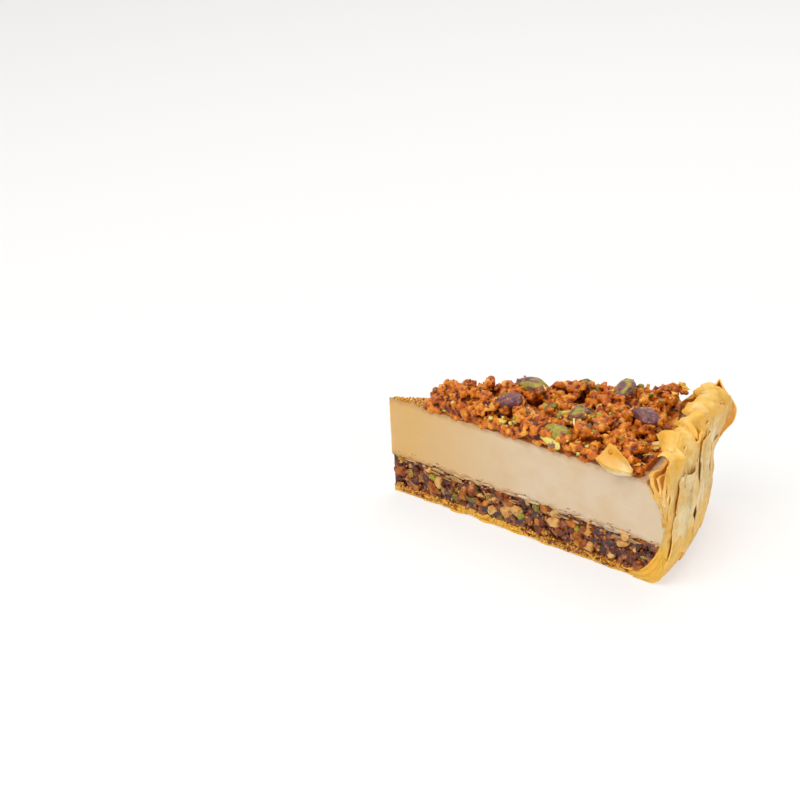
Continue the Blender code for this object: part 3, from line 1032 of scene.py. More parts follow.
class SLICE_OT_pastry_floor(bpy.types.Operator):
    """Model the pastry floor as a stack of thin leaves with crumbling cut edges"""

    bl_idname = "slice.pastry_floor"
    bl_label = "Pastry Floor"

    def execute(self, context):
        thickness = 0.75 * MM
        pitch = (FLOOR_TOP - thickness) / (FLOOR_LEAVES - 1)
        leaves = []
        for number in range(FLOOR_LEAVES):
            def place(u, v):
                radius = 1.5 * MM + u * (CAKE_RADIUS - 12 * MM)
                side = 2 * v - 1
                crumbled = leaf_edge(radius, 10 * number + 3) * 1.4 * MM - 0.6 * MM
                reach = HALF_ANGLE + crumbled / np.maximum(radius, 12 * MM)
                angle = side * (HALF_ANGLE + np.abs(side) ** 6 * (reach - HALF_ANGLE))
                wave = 0.22 * MM * flat_bumps(radius, side * 20 * MM, 5 * MM, number)
                level = thickness / 2 + 0.02 * MM + number * pitch
                return row_points(radius, angle, level + (wave if number else np.maximum(wave, 0)))

            leaves.append(leaf(120, 30, place, thickness))
        finish_pastry(joined(leaves), "pastry_floor", 0.0, 0.4)
        self.crumbs()
        return {"FINISHED"}

    def crumbs(self):
        """The buttery crumbs of pastry that hang on the floor's cut edges."""
        rng = np.random.default_rng(31)
        bits = [broken_bit(rng, 2, 6) for _ in range(8)]
        spots = []
        for _, _, middle in cut_spots(rng, 330, 0.8 * MM, FLOOR_TOP + 0.4 * MM, 4 * MM, 0.1 * MM):
            shape = random_shape(rng, 0.25, 0.7, MM, 0.5)
            spots.append((rng.integers(8), shape, middle, 0.5))
        finish_pastry(heap_of(bits, spots), "pastry_crumbs", 0.0, 0.4)


class SLICE_OT_pastry_wall(bpy.types.Operator):
    """Model the pastry wall and ruffled rim as nested leaves, with torn ones stuck round them"""

    bl_idname = "slice.pastry_wall"
    bl_label = "Pastry Wall"

    def execute(self, context):
        finish_pastry(self.core(), "pastry_core", None, 0.25)
        inner = [self.wall_leaf(number, *spec) for number, spec in enumerate(WALL_LEAVES)]
        finish_pastry(joined(inner), "pastry_wall", None, 0.2, ["phyllo_case"])
        outer = [self.torn_leaf(number, *spec) for number, spec in enumerate(TORN_LEAVES)]
        finish_pastry(joined(outer), "pastry_torn_leaves", None, 0.1)
        rolls = [self.rim_roll(number, *spec) for number, spec in enumerate(RIM_ROLLS)]
        finish_pastry(joined(rolls), "pastry_rim", -0.05, 0.15)
        return {"FINISHED"}

    def core(self):
        """The baked-together body of the wall, whose leaves only show as streaks along the cuts."""
        def streaks(share, t):
            broad = flat_bumps(share * 14 * MM, t * 14 * MM, 2.2 * MM, 7)
            return broad + 0.4 * flat_bumps(share * 20 * MM, t * 9 * MM, 1 * MM, 2)

        def place(u, v, w):
            angle = angle_of(v)
            along = angle * CAKE_RADIUS
            t = u * (0.76 + 0.05 * flat_bumps(along, w * 9 * MM, 5 * MM, 3))
            share = 0.08 + 0.84 * w
            radius, height = wall_point(share, t)
            radius += 0.4 * MM * flat_bumps(along, t * 70 * MM, 6 * MM, 1) + flare(angle, height, share)
            points = row_points(radius, angle, height)
            return off_the_cut(points, v, 0.55 * MM * streaks(share, t) - 0.1 * MM)

        piece = block((90, 40, 14), place)
        radius, height = np.hypot(*(coordinates(piece)[:, :2] - APEX.xy).T), coordinates(piece)[:, 2]
        across = flat_bumps(radius, height / 7, 0.9 * MM, 12)
        set_attribute(piece, "toast", 0.16 + 0.3 * across)
        return piece

    def wall_leaf(self, number, share, thickness, top):
        def place(u, v):
            angle = angle_of(u)
            along = angle * CAKE_RADIUS
            t = v * (top + 0.02 * leaf_edge(along, 40 + 5 * number))
            radius, height = wall_point(share, t)
            rise = smoothstep(CREAM_TOP - 8 * MM, RIM_TOP, height)
            steady = smoothstep(0.1, 0.35, t) * (1 - 0.6 * (share > 0.5))
            crumple = folds(along, t * 75 * MM, sizes().crumple_size, 60 + number)
            shift = 0.5 * sizes().crumple_depth * crumple * steady
            shift += rise * sizes().pleat_depth * (1 - 0.6 * share) * ruffle(along, 0.3 * number)
            shift += flare(angle, height, share)
            shift += 0.8 * MM * steady * flat_bumps(height, along, 6 * MM, 3.3 * number)
            height = np.maximum(height - rise * corner_drop(angle), 0.55 * thickness * MM)
            cut = np.abs(angle / HALF_ANGLE) ** 8 * 0.5 * MM * flat_bumps(height, number, 2.2 * MM, 5)
            return row_points(radius + shift, angle + cut / CAKE_RADIUS, height)

        piece = leaf(64, 66, place, thickness * MM)
        browning = 0.2 * bumps(coordinates(piece), 7 * MM, number) + 0.1 * share
        set_attribute(piece, "toast", browning)
        return piece

    def torn_leaf(self, number, start, end, slant, low, high, lift, toast):
        def place(u, v):
            span = (end - start) * HALF_ANGLE * CAKE_RADIUS
            rise = (high - low) * MM
            height = low * MM + v * rise
            first, last = start * HALF_ANGLE, end * HALF_ANGLE
            if start > -1:
                torn = slant * (v - 0.5) + 2.2 * leaf_edge(height, 100 + 9 * number)
                first = first + torn * MM / CAKE_RADIUS
            if end < 1:
                torn = slant * (v - 0.5) + 2.2 * leaf_edge(height, 140 + 9 * number)
                last = last + torn * MM / CAKE_RADIUS
            angle = first + u * (last - first)
            along = angle * CAKE_RADIUS
            height = height + 3.2 * MM * leaf_edge(along, 180 + 9 * number) * (1 - v)
            height = np.maximum(height + 2.4 * MM * leaf_edge(along, 220 + 9 * number) * v, 0.5 * MM)
            radius, on_wall = wall_point(0, way_up(height))
            height = np.maximum(height, on_wall)
            rim = np.minimum.reduce([u * span, (1 - u) * span, v * rise, (1 - v) * rise])
            loose = 1 - smoothstep(0, 4 * MM, rim)
            pleated = smoothstep(CREAM_TOP - 8 * MM, RIM_TOP, height)
            crumple = folds(along, height, sizes().crumple_size, 90 + number)
            fine = creases(along, 0.7 * height, 0.36 * sizes().crumple_size, 190 + number)
            shift = lift * MM * (0.5 + 0.4 * loose * (1 + flat_bumps(along, height, 6 * MM, number)))
            shift += sizes().crumple_depth * (crumple + 0.24 * fine) * smoothstep(0, 12 * MM, height)
            shift += pleated * sizes().pleat_depth * ruffle(along, 0.05 * number)
            shift += flare(angle, height, 0)
            return row_points(radius + shift, angle, height - pleated * corner_drop(angle))

        columns = int((end - start) * HALF_ANGLE * CAKE_RADIUS / (0.7 * MM))
        piece = leaf(columns, int((high - low) / 0.7), place, 1.2 * sizes().leaf_thickness)
        set_attribute(piece, "toast", toast + 0.16 * bumps(coordinates(piece), 8 * MM, number + 0.5))
        return piece

    def rim_roll(self, number, start, end, roll, top):
        """A leaf that stands on the wall's outside and rolls in over the rim, in soft pleats."""
        foot = 40 * MM

        def place(u, v):
            angle = (start + u * (end - start)) * HALF_ANGLE
            along = angle * CAKE_RADIUS
            lobe = smoothstep(-0.15, 0.3, u) if start > -1 else 1.0
            if end < 1:
                lobe = lobe * smoothstep(-0.15, 0.3, 1 - u)
            curl = roll * MM * (0.45 + 0.55 * lobe) * (1 + 0.25 * flat_bumps(along, v, 8 * MM, number))
            crest = (top - 4.5 * (1 - lobe)) * MM + 1.2 * MM * flat_bumps(along, 0.0, 10 * MM, number + 60)
            lip = math.radians(150) + math.radians(45) * leaf_edge(along, 260 + 9 * number)
            turn = lip * np.clip((v - 0.45) / 0.55, 0, 1)
            height = foot + np.clip(v / 0.45, 0, 1) * (crest - curl - foot) + curl * np.sin(turn)
            radius = CAKE_RADIUS - 1.2 * MM - curl * (1 - np.cos(turn))
            free = smoothstep(0.05, 0.5, v)
            radius += free * sizes().pleat_depth * ruffle(along, 0.13 * number)
            crumple = creases(along, v * 24 * MM, 6.5 * MM, 400 + number)
            radius += free * 0.8 * sizes().crumple_depth * crumple
            height = height - free * corner_drop(angle)
            height = height + free * 1.1 * MM * ruffle(along, 0.13 * number + 0.3)
            return row_points(radius + flare(angle, height, 0), angle, height)

        columns = int((end - start) * HALF_ANGLE * CAKE_RADIUS / (0.6 * MM))
        return leaf(columns, 44, place, 1.2 * sizes().leaf_thickness)


class SLICE_OT_loose_pastry(bpy.types.Operator):
    """Model the curled leaf on the near edge, the petals at the far corner, and stray flakes"""

    bl_idname = "slice.loose_pastry"
    bl_label = "Loose Pastry"

    def execute(self, context):
        self.petals()
        self.curl()
        self.flakes()
        return {"FINISHED"}

    def petals(self):
        """Leaves that turn out past the far corner, so that their broad side faces the near cut."""
        leaves = []
        for number, (inset, wide, low, tall, out) in enumerate(PETALS):
            def place(u, v):
                closing = np.clip((v - 0.5) / 0.5, 0, 1)
                swell = np.sqrt(1 - 0.92 * closing**2) * (0.15 + 0.85 * smoothstep(0, 0.6, v))
                across = (u - 0.5) * wide * MM * swell * (1 + 0.1 * flat_bumps(v, 0.0, 0.2, number))
                edge = np.abs(2 * u - 1)
                height = low * MM + tall * MM * (v - 0.13 * v**2 * edge**2)
                height += 0.5 * MM * v * flat_bumps(across, 0.0, 3.5 * MM, number + 2)
                radius = CAKE_RADIUS + (1.5 * v - inset) * MM + across
                crease = 2.4 * MM * np.exp(-(((u - 0.45 - 0.1 * v) / 0.13) ** 2)) * smoothstep(0.1, 0.6, v)
                cup = 2.8 * MM * edge**2.2 * (0.3 + 0.7 * v) + 1.6 * MM * smoothstep(0.85, 1, v)
                crumple = 0.8 * MM * folds(across, v * tall * MM, 5 * MM, 300 + number)
                toward = out * MM + cup - crease + crumple
                return row_points(radius, HALF_ANGLE - toward / CAKE_RADIUS, height)

            leaves.append(leaf(34, 44, place, 1.4 * sizes().leaf_thickness))
        finish_pastry(joined(leaves), "pastry_petals", -0.1, 0.2)

    def curl(self):
        """A leaf folded like a shell, on the near edge, with its back lip higher than its front."""
        leaves = []
        for number in range(2):
            def place(u, v):
                lip = 2 * v - 1
                along = u + 0.22 * lip**2 * (1 - u)
                full = 0.25 + 0.8 * np.sin(math.pi * np.clip(0.16 + 0.84 * along**0.8, 0, 1))
                swell = 0.9 * flat_bumps(14 * along, 9 * lip, 5.0, 3 * number + 1)
                out = 2.4 - 0.6 * number + full * (1.0 - 3.4 * lip) + swell
                up = full * (4.6 * np.abs(lip) ** 1.6 - 4 + 2.8 * np.maximum(lip, 0) ** 2 - 0.8 * number)
                height = (49.8 - 4.5 * along + up) * MM
                radius = (97.5 + 14 * along) * MM
                return row_points(radius, -HALF_ANGLE - out * MM / radius, height)

            leaves.append(leaf(30, 34, place, 1.3 * sizes().leaf_thickness))
        finish_pastry(joined(leaves), "pastry_curl", -0.12, 0.05)

    def flakes(self):
        """Flakes that dropped from the rim onto the crumble next to it."""
        rng = np.random.default_rng(5)

        def place(u, v):
            dished = 0.25 * (u - 0.5) ** 2 + 0.12 * v * u
            return np.stack([u - 0.5, (v - 0.5) * (0.5 + 0.5 * u), dished], axis=-1)

        flake = leaf(6, 5, place, 0.09)
        faces = np.array([list(face.vertices) for face in flake.data.polygons])
        shape = (coordinates(flake), faces)
        bpy.data.objects.remove(flake)
        spots = []
        for _ in range(22):
            radius, angle = CAKE_RADIUS - rng.uniform(10, 17) * MM, rng.uniform(-0.95, 0.9) * HALF_ANGLE
            turn = np.array(Quaternion((1, *rng.normal(0, 0.35, 2), rng.normal())).normalized().to_matrix())
            middle = row_points(radius, angle, crumble_surface(radius, angle) + 0.5 * MM)
            spots.append((0, turn * (rng.uniform(1.6, 3.8) * MM), middle, 0.5))
        finish_pastry(heap_of([shape], spots), "pastry_flakes", 0.0, 0.2)


# ---------------------------------------------------------------- the crumble

# Where lumps stand highest: distance from the cake's axis and angle.
HIGH_LUMPS = [
    (113 * MM, math.radians(11.5)), (110 * MM, math.radians(8)), (92 * MM, math.radians(11)),
    (67 * MM, math.radians(10)), (42 * MM, math.radians(8)),
]
# Clusters of chopped pistachio along the near edge: distance from the axis, size in mm, and count.
GREEN_CLUSTERS = [(54, 1.5, 15), (88, 1.2, 5), (30, 1.0, 6)]
# Slivers of almond: distance from the axis in mm, angle, heading in degrees, and length in mm.
SLIVERS = [(80.5, -8.5, -60, 10.5), (79, -12, -22, 7), (98, 4, 35, 6), (62, 7, -40, 5.5)]


def heap_top(radius, angle):
    """The height that the crumble reaches, lower at its two ends and along the cuts."""
    full = 51.6 * MM - CREAM_TOP
    start = smoothstep(HEAP_START - 1 * MM, HEAP_START + 9 * MM, radius)
    sides = 1 - 0.16 * smoothstep(0.75, 1.0, np.abs(angle) / HALF_ANGLE)
    wave = 1 + 0.26 * noise.noise((radius / (10 * MM), angle * 9, 0.4))
    return CREAM_TOP + full * (0.3 + 0.7 * start) * sides * wave


def heap_place(rng, inset):
    """A random place in plan within the crumble, evenly spread."""
    while True:
        radius = math.sqrt(rng.uniform(HEAP_START**2, (HEAP_END - inset) ** 2))
        angle = rng.uniform(-1, 1) * (HALF_ANGLE - inset / radius)
        if radius > HEAP_START + 3 * MM * noise.noise((angle * 14, 0, 8.8)):
            return radius, angle


@functools.cache
def crumble_tree():
    mesh = bpy.data.objects["crumble_lumps"].data
    corners = [vertex.co for vertex in mesh.vertices]
    return bvhtree.BVHTree.FromPolygons(corners, [face.vertices[:] for face in mesh.polygons])


def crumble_surface(radius, angle):
    """The height of the finished lumps there, or of the cream where there are none."""
    x, y, _ = row_points(radius, angle, 0.0)
    hit = crumble_tree().ray_cast((x, y, 2 * RIM_TOP), (0, 0, -1))[0]
    return hit.z if hit else CREAM_TOP


class SLICE_OT_crumble(bpy.types.Operator):
    """Model the crumble: fused lumps of caramelised nodules, with loose crumbs on top"""

    bl_idname = "slice.crumble"
    bl_label = "Nut Crumble"

    def execute(self, context):
        rng = np.random.default_rng(7)
        self.make_lumps(rng, shared_material(caramel_crumble))
        self.make_crumbs(rng, shared_material(caramel_crumble))
        return {"FINISHED"}

    def make_lumps(self, rng, material):
        bits = [broken_bit(rng, 2, 6) for _ in range(12)]
        lump, grain = sizes().lump_size, sizes().grain_size
        spots = []
        for middle, scale in self.lump_middles(rng, lump):
            tint = np.clip(rng.normal(0.46, 0.18), 0.1, 0.95)
            reach = lump * scale * rng.uniform(0.55, 1.1)
            for _ in range(int(rng.uniform(6, 13) * scale)):
                offset = rng.normal(size=3)
                offset *= reach * rng.uniform(0.2, 0.85) / np.linalg.norm(offset)
                place = middle + offset * (1, 1, 0.75)
                place[2] = max(place[2], CREAM_TOP + 0.3 * MM)
                place = self.held_back(place, 0.3 * MM)
                shape = random_turn(rng) * (grain * rng.uniform(0.55, 1.45) * rng.uniform(0.7, 1, 3))
                spots.append((rng.integers(12), shape, place, np.clip(tint + rng.normal(0, 0.08), 0.05, 1)))
        piece = heap_of(bits, spots)
        centres = np.array([spot[2] for spot in spots])
        tints = np.array([spot[3] for spot in spots])
        bed = self.bed()
        piece = joined([piece, bed])
        apply_modifier(piece, "REMESH", mode="VOXEL", voxel_size=CRUMBLE_VOXEL)
        for name in [a.name for a in piece.data.attributes if a.name in ("tint", "relief_shade")]:
            piece.data.attributes.remove(piece.data.attributes[name])
        points = coordinates(piece)
        points += normals(piece) * (0.16 * MM * bumps(points, 0.8 * MM, 3))[:, None]
        set_coordinates(piece, points)
        tree = kdtree.KDTree(len(centres))
        for index, centre in enumerate(centres):
            tree.insert(centre, index)
        tree.balance()
        nearest = np.array([tree.find(point)[1] for point in points.tolist()])
        set_attribute(piece, "tint", tints[nearest])
        # Painted shade in the lumps' hollows, fine and broad, with a slight painted highlight on their
        # bumps.
        deep = hollow_depth(piece, 3) / (0.3 * MM) * 0.4 + hollow_depth(piece, 14) / (1.2 * MM) * 0.8
        set_attribute(piece, "relief_shade", np.clip(deep, -0.2, 0.75))
        finish_piece(piece, "crumble_lumps", material, ["nut_topping"])

    def lump_middles(self, rng, lump):
        """The lumps' middles and scales: through the heap, along the cuts, on top, round kernels."""
        foot = CREAM_TOP + 1.2 * MM
        for _ in range(400):
            radius, angle = heap_place(rng, 0.35 * lump)
            top = heap_top(radius, angle) - 0.35 * lump
            yield row_points(radius, angle, foot + rng.uniform(0, 1) ** 0.7 * (top - foot)), 1.0
        for side in (-1, 1):
            for radius in np.arange(HEAP_START + 1 * MM, HEAP_END, 1.5 * MM):
                angle = side * (HALF_ANGLE - rng.uniform(0.3, 1.6) * MM / radius)
                top = heap_top(radius, angle) - 0.3 * lump
                yield row_points(radius, angle, foot + rng.uniform(-0.12, 1) * (top - foot)), 1.0
        crowns = [heap_place(rng, lump) for _ in range(34)] + HIGH_LUMPS
        for radius, angle in crowns:
            yield row_points(radius, angle, heap_top(radius, angle) + 0.1 * lump), rng.uniform(0.6, 1.0)
        for node in KERNELS:
            low, high = (np.array(corner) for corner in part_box(node))
            middle, half = (low + high) / 2, (high - low) / 2
            for turn in np.linspace(0, math.tau, 9, endpoint=False) + rng.uniform(0, 1):
                sunk = -rng.uniform(0.1, 0.7) * half[2]
                around = half * (0.98 * math.cos(turn), 0.98 * math.sin(turn), 0)
                yield middle + around + (0, 0, sunk), rng.uniform(0.3, 0.5)

    def held_back(self, place, proud):
        """A place no further than that out of the two cuts."""
        for side in (-1, 1):
            place = flatten_on_cut(place[None], side, proud)[0]
        return place

    def bed(self):
        """The bottom of the heap, which closes the gaps between its lumps."""
        def place(u, v, w):
            radius = HEAP_START + 0.5 * MM + u * (HEAP_END - HEAP_START + 1.5 * MM)
            angle = angle_of(v) * (1 - 1.2 * MM / np.maximum(radius * HALF_ANGLE, 2 * MM))
            points = row_points(radius, angle, CREAM_TOP - 0.2 * MM)
            points[:, 2] += w * (3.2 * MM + 1.2 * MM * bumps(points, 3 * MM, 2))
            return points

        bed = block((70, 26, 2), place)
        set_attribute(bed, "tint", np.full(len(bed.data.vertices), 0.4))
        return bed

    def make_crumbs(self, rng, material):
        bits = [broken_bit(rng, 1, 4) for _ in range(12)]
        spots = []
        for _ in range(1500):
            radius, angle = heap_place(rng, 0.5 * MM)
            place = row_points(radius, angle, crumble_surface(radius, angle) - 0.1 * MM)
            shape = random_shape(rng, 0.3, 0.85, MM, 0.6)
            spots.append((rng.integers(12), shape, place, random_tint(rng, 0.62, 0.2)))
        for _ in range(150):
            radius = rng.uniform(3 * MM, HEAP_START + 6 * MM)
            angle = rng.uniform(-1, 1) * (HALF_ANGLE - 0.4 * MM / radius)
            shape = random_shape(rng, 0.25, 0.7, MM, 0.5)
            tint = random_tint(rng, 0.85, 0.12)
            spots.append((rng.integers(12), shape, row_points(radius, angle, CREAM_TOP + 0.3 * MM), tint))
        for node in KERNELS:
            corners = coordinates(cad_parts[node])
            for corner in rng.choice(corners[corners[:, 2] > corners[:, 2].mean()], 12):
                shape = random_shape(rng, 0.25, 0.8, MM, 0.6)
                spots.append((rng.integers(12), shape, corner, random_tint(rng, 0.75, 0.12)))
        piece = heap_of(bits, spots)
        set_attribute(piece, "relief_shade", np.zeros(len(piece.data.vertices)))
        finish_piece(piece, "crumble_crumbs", material)


class SLICE_OT_toppings(bpy.types.Operator):
    """Model the chopped pistachios, skin chips, pale nut chips and almond slivers in the crumble"""

    bl_idname = "slice.toppings"
    bl_label = "Chopped Nuts on Top"

    def execute(self, context):
        rng = np.random.default_rng(23)
        bits = [broken_bit(rng, 3, 7) for _ in range(10)]
        self.pistachios(rng, bits)
        self.skin_chips(rng, bits)
        self.walnuts(rng, bits)
        self.slivers(rng)
        return {"FINISHED"}

    def resting(self, rng, sunk):
        """A random place on the crumble, sunk into it by that much."""
        radius, angle = heap_place(rng, 1 * MM)
        return row_points(radius, angle, crumble_surface(radius, angle) - sunk)

    def pistachios(self, rng, bits):
        spots = []
        for _ in range(60):
            size = rng.uniform(0.8, 2.2) * MM
            shape = random_turn(rng) * (size * np.array([1.5, 0.8, 0.6]))
            place = self.resting(rng, 0.3 * size)
            spots.append((rng.integers(10), shape, place, rng.uniform(-0.05, 0.5)))
        for radius, size, count in GREEN_CLUSTERS:
            for _ in range(count):
                away = rng.normal(radius, 2.4) * MM
                angle = -HALF_ANGLE + rng.uniform(0.0, 2.2) * MM / away
                place = row_points(away, angle, rng.uniform(CREAM_TOP + 1.5 * MM, CREAM_TOP + 6.5 * MM))
                shape = random_turn(rng) * (rng.uniform(0.6, 1.2) * size * MM * rng.uniform(0.6, 1, 3))
                spots.append((rng.integers(10), shape, place, rng.uniform(0.4, 0.85)))
        for _ in range(26):
            away = rng.uniform(3, 27) * MM
            place = row_points(away, -HALF_ANGLE * rng.uniform(-0.9, 0.95), CREAM_TOP + 0.3 * MM)
            shape = random_shape(rng, 0.3, 0.9, MM, 0.5)
            spots.append((rng.integers(10), shape, place, rng.uniform(0.3, 0.8)))
        # Half a kernel lies along the near edge, with its pale cut side out.
        half = drawn_out(rng, -1, 5.2 * MM, 1.8 * MM, 2.0 * MM)
        edge = row_points(77 * MM, -HALF_ANGLE - 0.8 * MM / CAKE_RADIUS, CREAM_TOP + 3.6 * MM)
        spots.append((3, half, edge, 0.7))
        piece = heap_of(bits, spots)
        set_attribute(piece, "skin", 0.3 + 0.4 * bumps(coordinates(piece), 4 * MM, 5))
        finish_piece(
            piece, "chopped_pistachios", shared_material(pistachio_kernel), smooth_angle=40
        )

    def skin_chips(self, rng, bits):
        """Chips of purple skin, some of them on edge."""
        places = [row_points(78.9 * MM, math.radians(9.5), 53 * MM)]
        places += [self.resting(rng, 0.3 * MM) for _ in range(26)]
        spots = []
        for number, place in enumerate(places):
            size = (2.3 if number == 0 else rng.uniform(0.8, 1.9)) * MM
            shape = random_turn(rng) * (size * np.array([1.2, 0.9, 0.22]))
            spots.append((rng.integers(10), shape, place, 0.2))
        piece = heap_of(bits, spots)
        set_attribute(piece, "skin", np.full(len(piece.data.vertices), 0.95))
        finish_piece(
            piece, "pistachio_skins", shared_material(pistachio_kernel), smooth_angle=40
        )

    def walnuts(self, rng, bits):
        spots = []
        for _ in range(90):
            size = rng.uniform(0.7, 1.9) * MM
            shape = random_turn(rng) * (size * rng.uniform(0.5, 1, 3))
            spots.append((rng.integers(10), shape, self.resting(rng, 0.3 * size), rng.uniform(0.2, 0.7)))
        piece = heap_of(bits, spots)
        set_attribute(piece, "relief_shade", np.zeros(len(piece.data.vertices)))
        finish_piece(piece, "chopped_walnuts", shared_material(glazed_walnut), smooth_angle=40)

    def slivers(self, rng):
        def place(u, v, w):
            along = u - 0.5
            width = 0.075 * np.sqrt(1 - 3.4 * along**2)
            bow = 0.16 * (1 - 4 * along**2)
            sway = 0.05 * np.sin(5 * u)
            return np.stack([along, (v - 0.5) * width + sway, (w - 0.5) * 0.05 + bow], axis=-1)

        sliver = block((14, 2, 2), place)
        shape = (coordinates(sliver), np.array([list(face.vertices) for face in sliver.data.polygons]))
        bpy.data.objects.remove(sliver)
        spots = []
        for radius, angle, heading, size in SLIVERS:
            turn = np.array(Matrix.Rotation(math.radians(heading), 3, "Z"))
            middle = row_points(radius * MM, math.radians(angle), 0.0)
            middle[2] = crumble_surface(radius * MM, math.radians(angle)) + 0.1 * MM
            spots.append((0, turn * (size * MM), middle, rng.uniform(0.5, 0.9)))
        piece = heap_of([shape], spots)
        set_attribute(piece, "relief_shade", np.zeros(len(piece.data.vertices)))
        finish_piece(piece, "almond_slivers", shared_material(shredded_almond), smooth_angle=40)


class SLICE_OT_kernels(bpy.types.Operator):
    """Model the whole pistachio kernels, each in its solid's place"""

    bl_idname = "slice.kernels"
    bl_label = "Pistachio Kernels"

    def execute(self, context):
        for number, (node, skin) in enumerate(zip(KERNELS, KERNEL_SKINS)):
            self.kernel(node, skin, number)
        return {"FINISHED"}

    def kernel(self, node, skin, number):
        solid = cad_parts[node]
        points = coordinates(solid)
        middle = points.mean(axis=0)
        axes = np.linalg.eigh(np.cov((points - middle).T))[1][:, ::-1]
        local = (points - middle) @ axes
        half = (local.max(axis=0) - local.min(axis=0)) / 2
        centre = middle + axes @ ((local.max(axis=0) + local.min(axis=0)) / 2)
        deselect_all()
        bpy.ops.mesh.primitive_ico_sphere_add(subdivisions=5, radius=1)
        piece = bpy.context.active_object
        ball = coordinates(piece)
        blunt = 1 - 0.22 * ball[:, 0] - 0.1 * ball[:, 0] ** 2
        shape = ball * np.stack([np.ones_like(blunt), blunt, blunt], -1)
        seam = np.exp(-((ball[:, 2] / 0.1) ** 2)) * np.sign(ball[:, 1] + 0.3).clip(0)
        stretched = ball * (0.35, 1, 1)
        ridges = 0.1 * bumps(stretched, 0.32, 5 + number) + 0.035 * bumps(stretched, 0.1, number)
        dents = 0.22 * np.maximum(bumps(ball, 0.75, 20 + number) - 0.12, 0)
        shape *= (1 + ridges - dents - 0.06 * seam)[:, None]
        set_coordinates(piece, centre + (shape * half) @ axes.T)
        if np.linalg.det(axes) < 0:
            recalculate_normals(piece)
        set_attribute(piece, "skin", skin + 0.5 * bumps(ball, 0.6, number + 3) + 0.25 * seam)
        set_attribute(piece, "tint", np.full(len(ball), 0.2))
        finish_piece(
            piece, node.replace("pistachio", "pistachio_kernel"),
            shared_material(pistachio_kernel), [node],
        )


# ---------------------------------------------------------------- the stage

FLOOR_GLOW = 0.55
SKY_LIGHT = 0.42  # how strongly the sky lights the slice; the camera sees it white
FLOOR_SIZE = 6.0
CAMERA_PLACE = Vector((234.5, -510.0, 336.4)) * MM  # from the foot of the cake's axis
CAMERA_AZIMUTH = math.radians(24.2)
CAMERA_ELEVATION = math.radians(27.8)
CAMERA_ROLL = math.radians(-2.82)
CAMERA_LENS = 72.7  # mm, on a 36 mm sensor
# Each lamp: name, azimuth and elevation in degrees, distance and size in metres, power in watts.
LAMPS = [
    ("softbox_key", -30, 55, 1.1, 0.9, 7.6),
    ("softbox_fill", 55, 32, 1.2, 0.9, 3.5),
    ("softbox_back", 170, 60, 1.1, 0.8, 4.0),
]


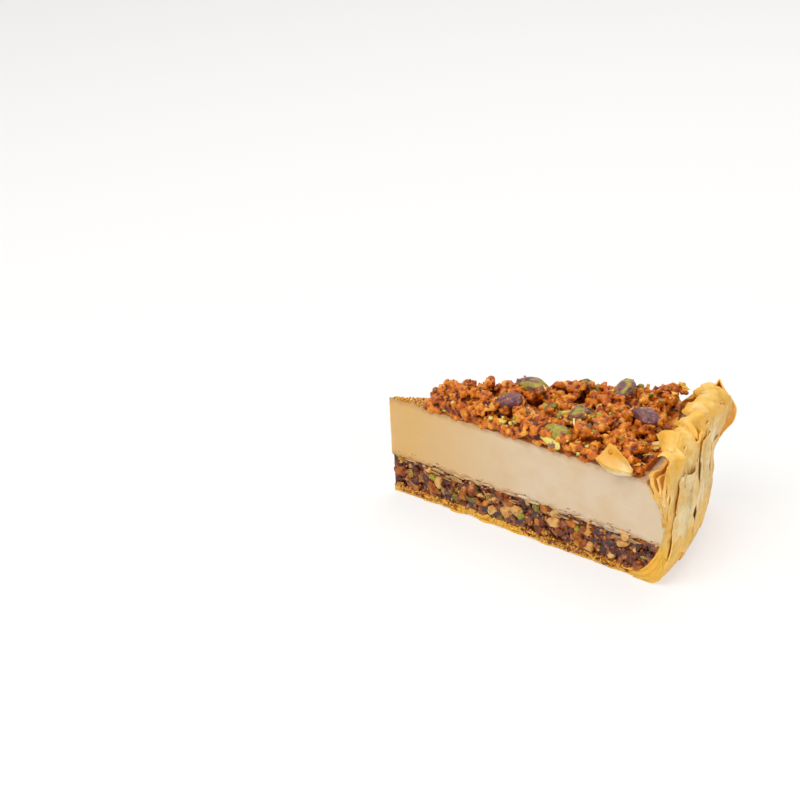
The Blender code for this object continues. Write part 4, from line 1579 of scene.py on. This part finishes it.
class SLICE_OT_stage(bpy.types.Operator):
    """Set up the pale floor, the soft lamps, the plain sky and the camera"""

    bl_idname = "slice.stage"
    bl_label = "Stage"

    def execute(self, context):
        deselect_all()
        bpy.ops.mesh.primitive_plane_add(size=FLOOR_SIZE, location=(0, 0, 0))
        floor = context.active_object
        floor.name = "floor"
        floor.data.materials.append(paper_floor())
        for name, azimuth, elevation, distance, size, power in LAMPS:
            self.lamp(name, math.radians(azimuth), math.radians(elevation), distance, size, power)
        self.sky(context.scene)
        self.camera(context.scene)
        context.scene.view_settings.view_transform = "Standard"
        return {"FINISHED"}

    def lamp(self, name, azimuth, elevation, distance, size, power):
        light = bpy.data.lights.new(name, "AREA")
        light.shape, light.size, light.energy = "DISK", size, power
        lamp = bpy.data.objects.new(name, light)
        bpy.context.scene.collection.objects.link(lamp)
        turn = Matrix.Rotation(azimuth, 4, "Z") @ Matrix.Rotation(math.pi / 2 - elevation, 4, "X")
        lamp.matrix_world = turn @ Matrix.Translation((0, 0, distance))

    def sky(self, scene):
        world = bpy.data.worlds.new("sky, plain")
        scene.world = world
        world.use_nodes = True
        tree = world.node_tree
        background = tree.nodes["Background"]
        seen = seen_directly(tree, add(tree, "ShaderNodeLightPath"))
        strength = add(
            tree, "ShaderNodeMapRange", {"Value": seen, "To Min": SKY_LIGHT, "To Max": 1.0}
        )
        background.inputs["Color"].default_value = srgb("#fffdfa")
        tree.links.new(strength.outputs["Result"], background.inputs["Strength"])

    def camera(self, scene):
        data = bpy.data.cameras.new("camera")
        data.lens = CAMERA_LENS
        camera = bpy.data.objects.new("camera", data)
        scene.collection.objects.link(camera)
        camera.matrix_world = (
            Matrix.Translation(APEX + CAMERA_PLACE)
            @ Matrix.Rotation(CAMERA_AZIMUTH, 4, "Z")
            @ Matrix.Rotation(math.pi / 2 - CAMERA_ELEVATION, 4, "X")
            @ Matrix.Rotation(CAMERA_ROLL, 4, "Z")
        )
        scene.camera = camera


# ---------------------------------------------------------------- the add-on

STEPS = (
    SLICE_OT_cream, SLICE_OT_filling, SLICE_OT_crumble, SLICE_OT_toppings, SLICE_OT_kernels,
    SLICE_OT_pastry_floor, SLICE_OT_pastry_wall, SLICE_OT_loose_pastry, SLICE_OT_stage,
)


class SLICE_PT_panel(bpy.types.Panel):
    """The slice's pieces, sizes and colours"""

    bl_idname = "SLICE_PT_panel"
    bl_label = "Baklava Cheesecake Slice"
    bl_space_type = "VIEW_3D"
    bl_region_type = "UI"
    bl_category = "Slice"

    def draw(self, context):
        for group in (context.scene.slice_sizes, context.scene.slice_colours):
            box = self.layout.box()
            for name in group.bl_rna.properties.keys():
                if name not in ("rna_type", "name"):
                    box.prop(group, name)
        for step in STEPS:
            self.layout.operator(step.bl_idname)


CLASSES = (SliceSizes, SliceColours, *STEPS, SLICE_PT_panel)


def register():
    for cls in CLASSES:
        bpy.utils.register_class(cls)
    bpy.types.Scene.slice_sizes = bpy.props.PointerProperty(type=SliceSizes)
    bpy.types.Scene.slice_colours = bpy.props.PointerProperty(type=SliceColours)


def unregister():
    del bpy.types.Scene.slice_sizes
    del bpy.types.Scene.slice_colours
    for cls in reversed(CLASSES):
        bpy.utils.unregister_class(cls)


def main():
    register()
    for step in STEPS:
        group, name = step.bl_idname.split(".")
        getattr(getattr(bpy.ops, group), name)()


if __name__ == "__main__":
    main()
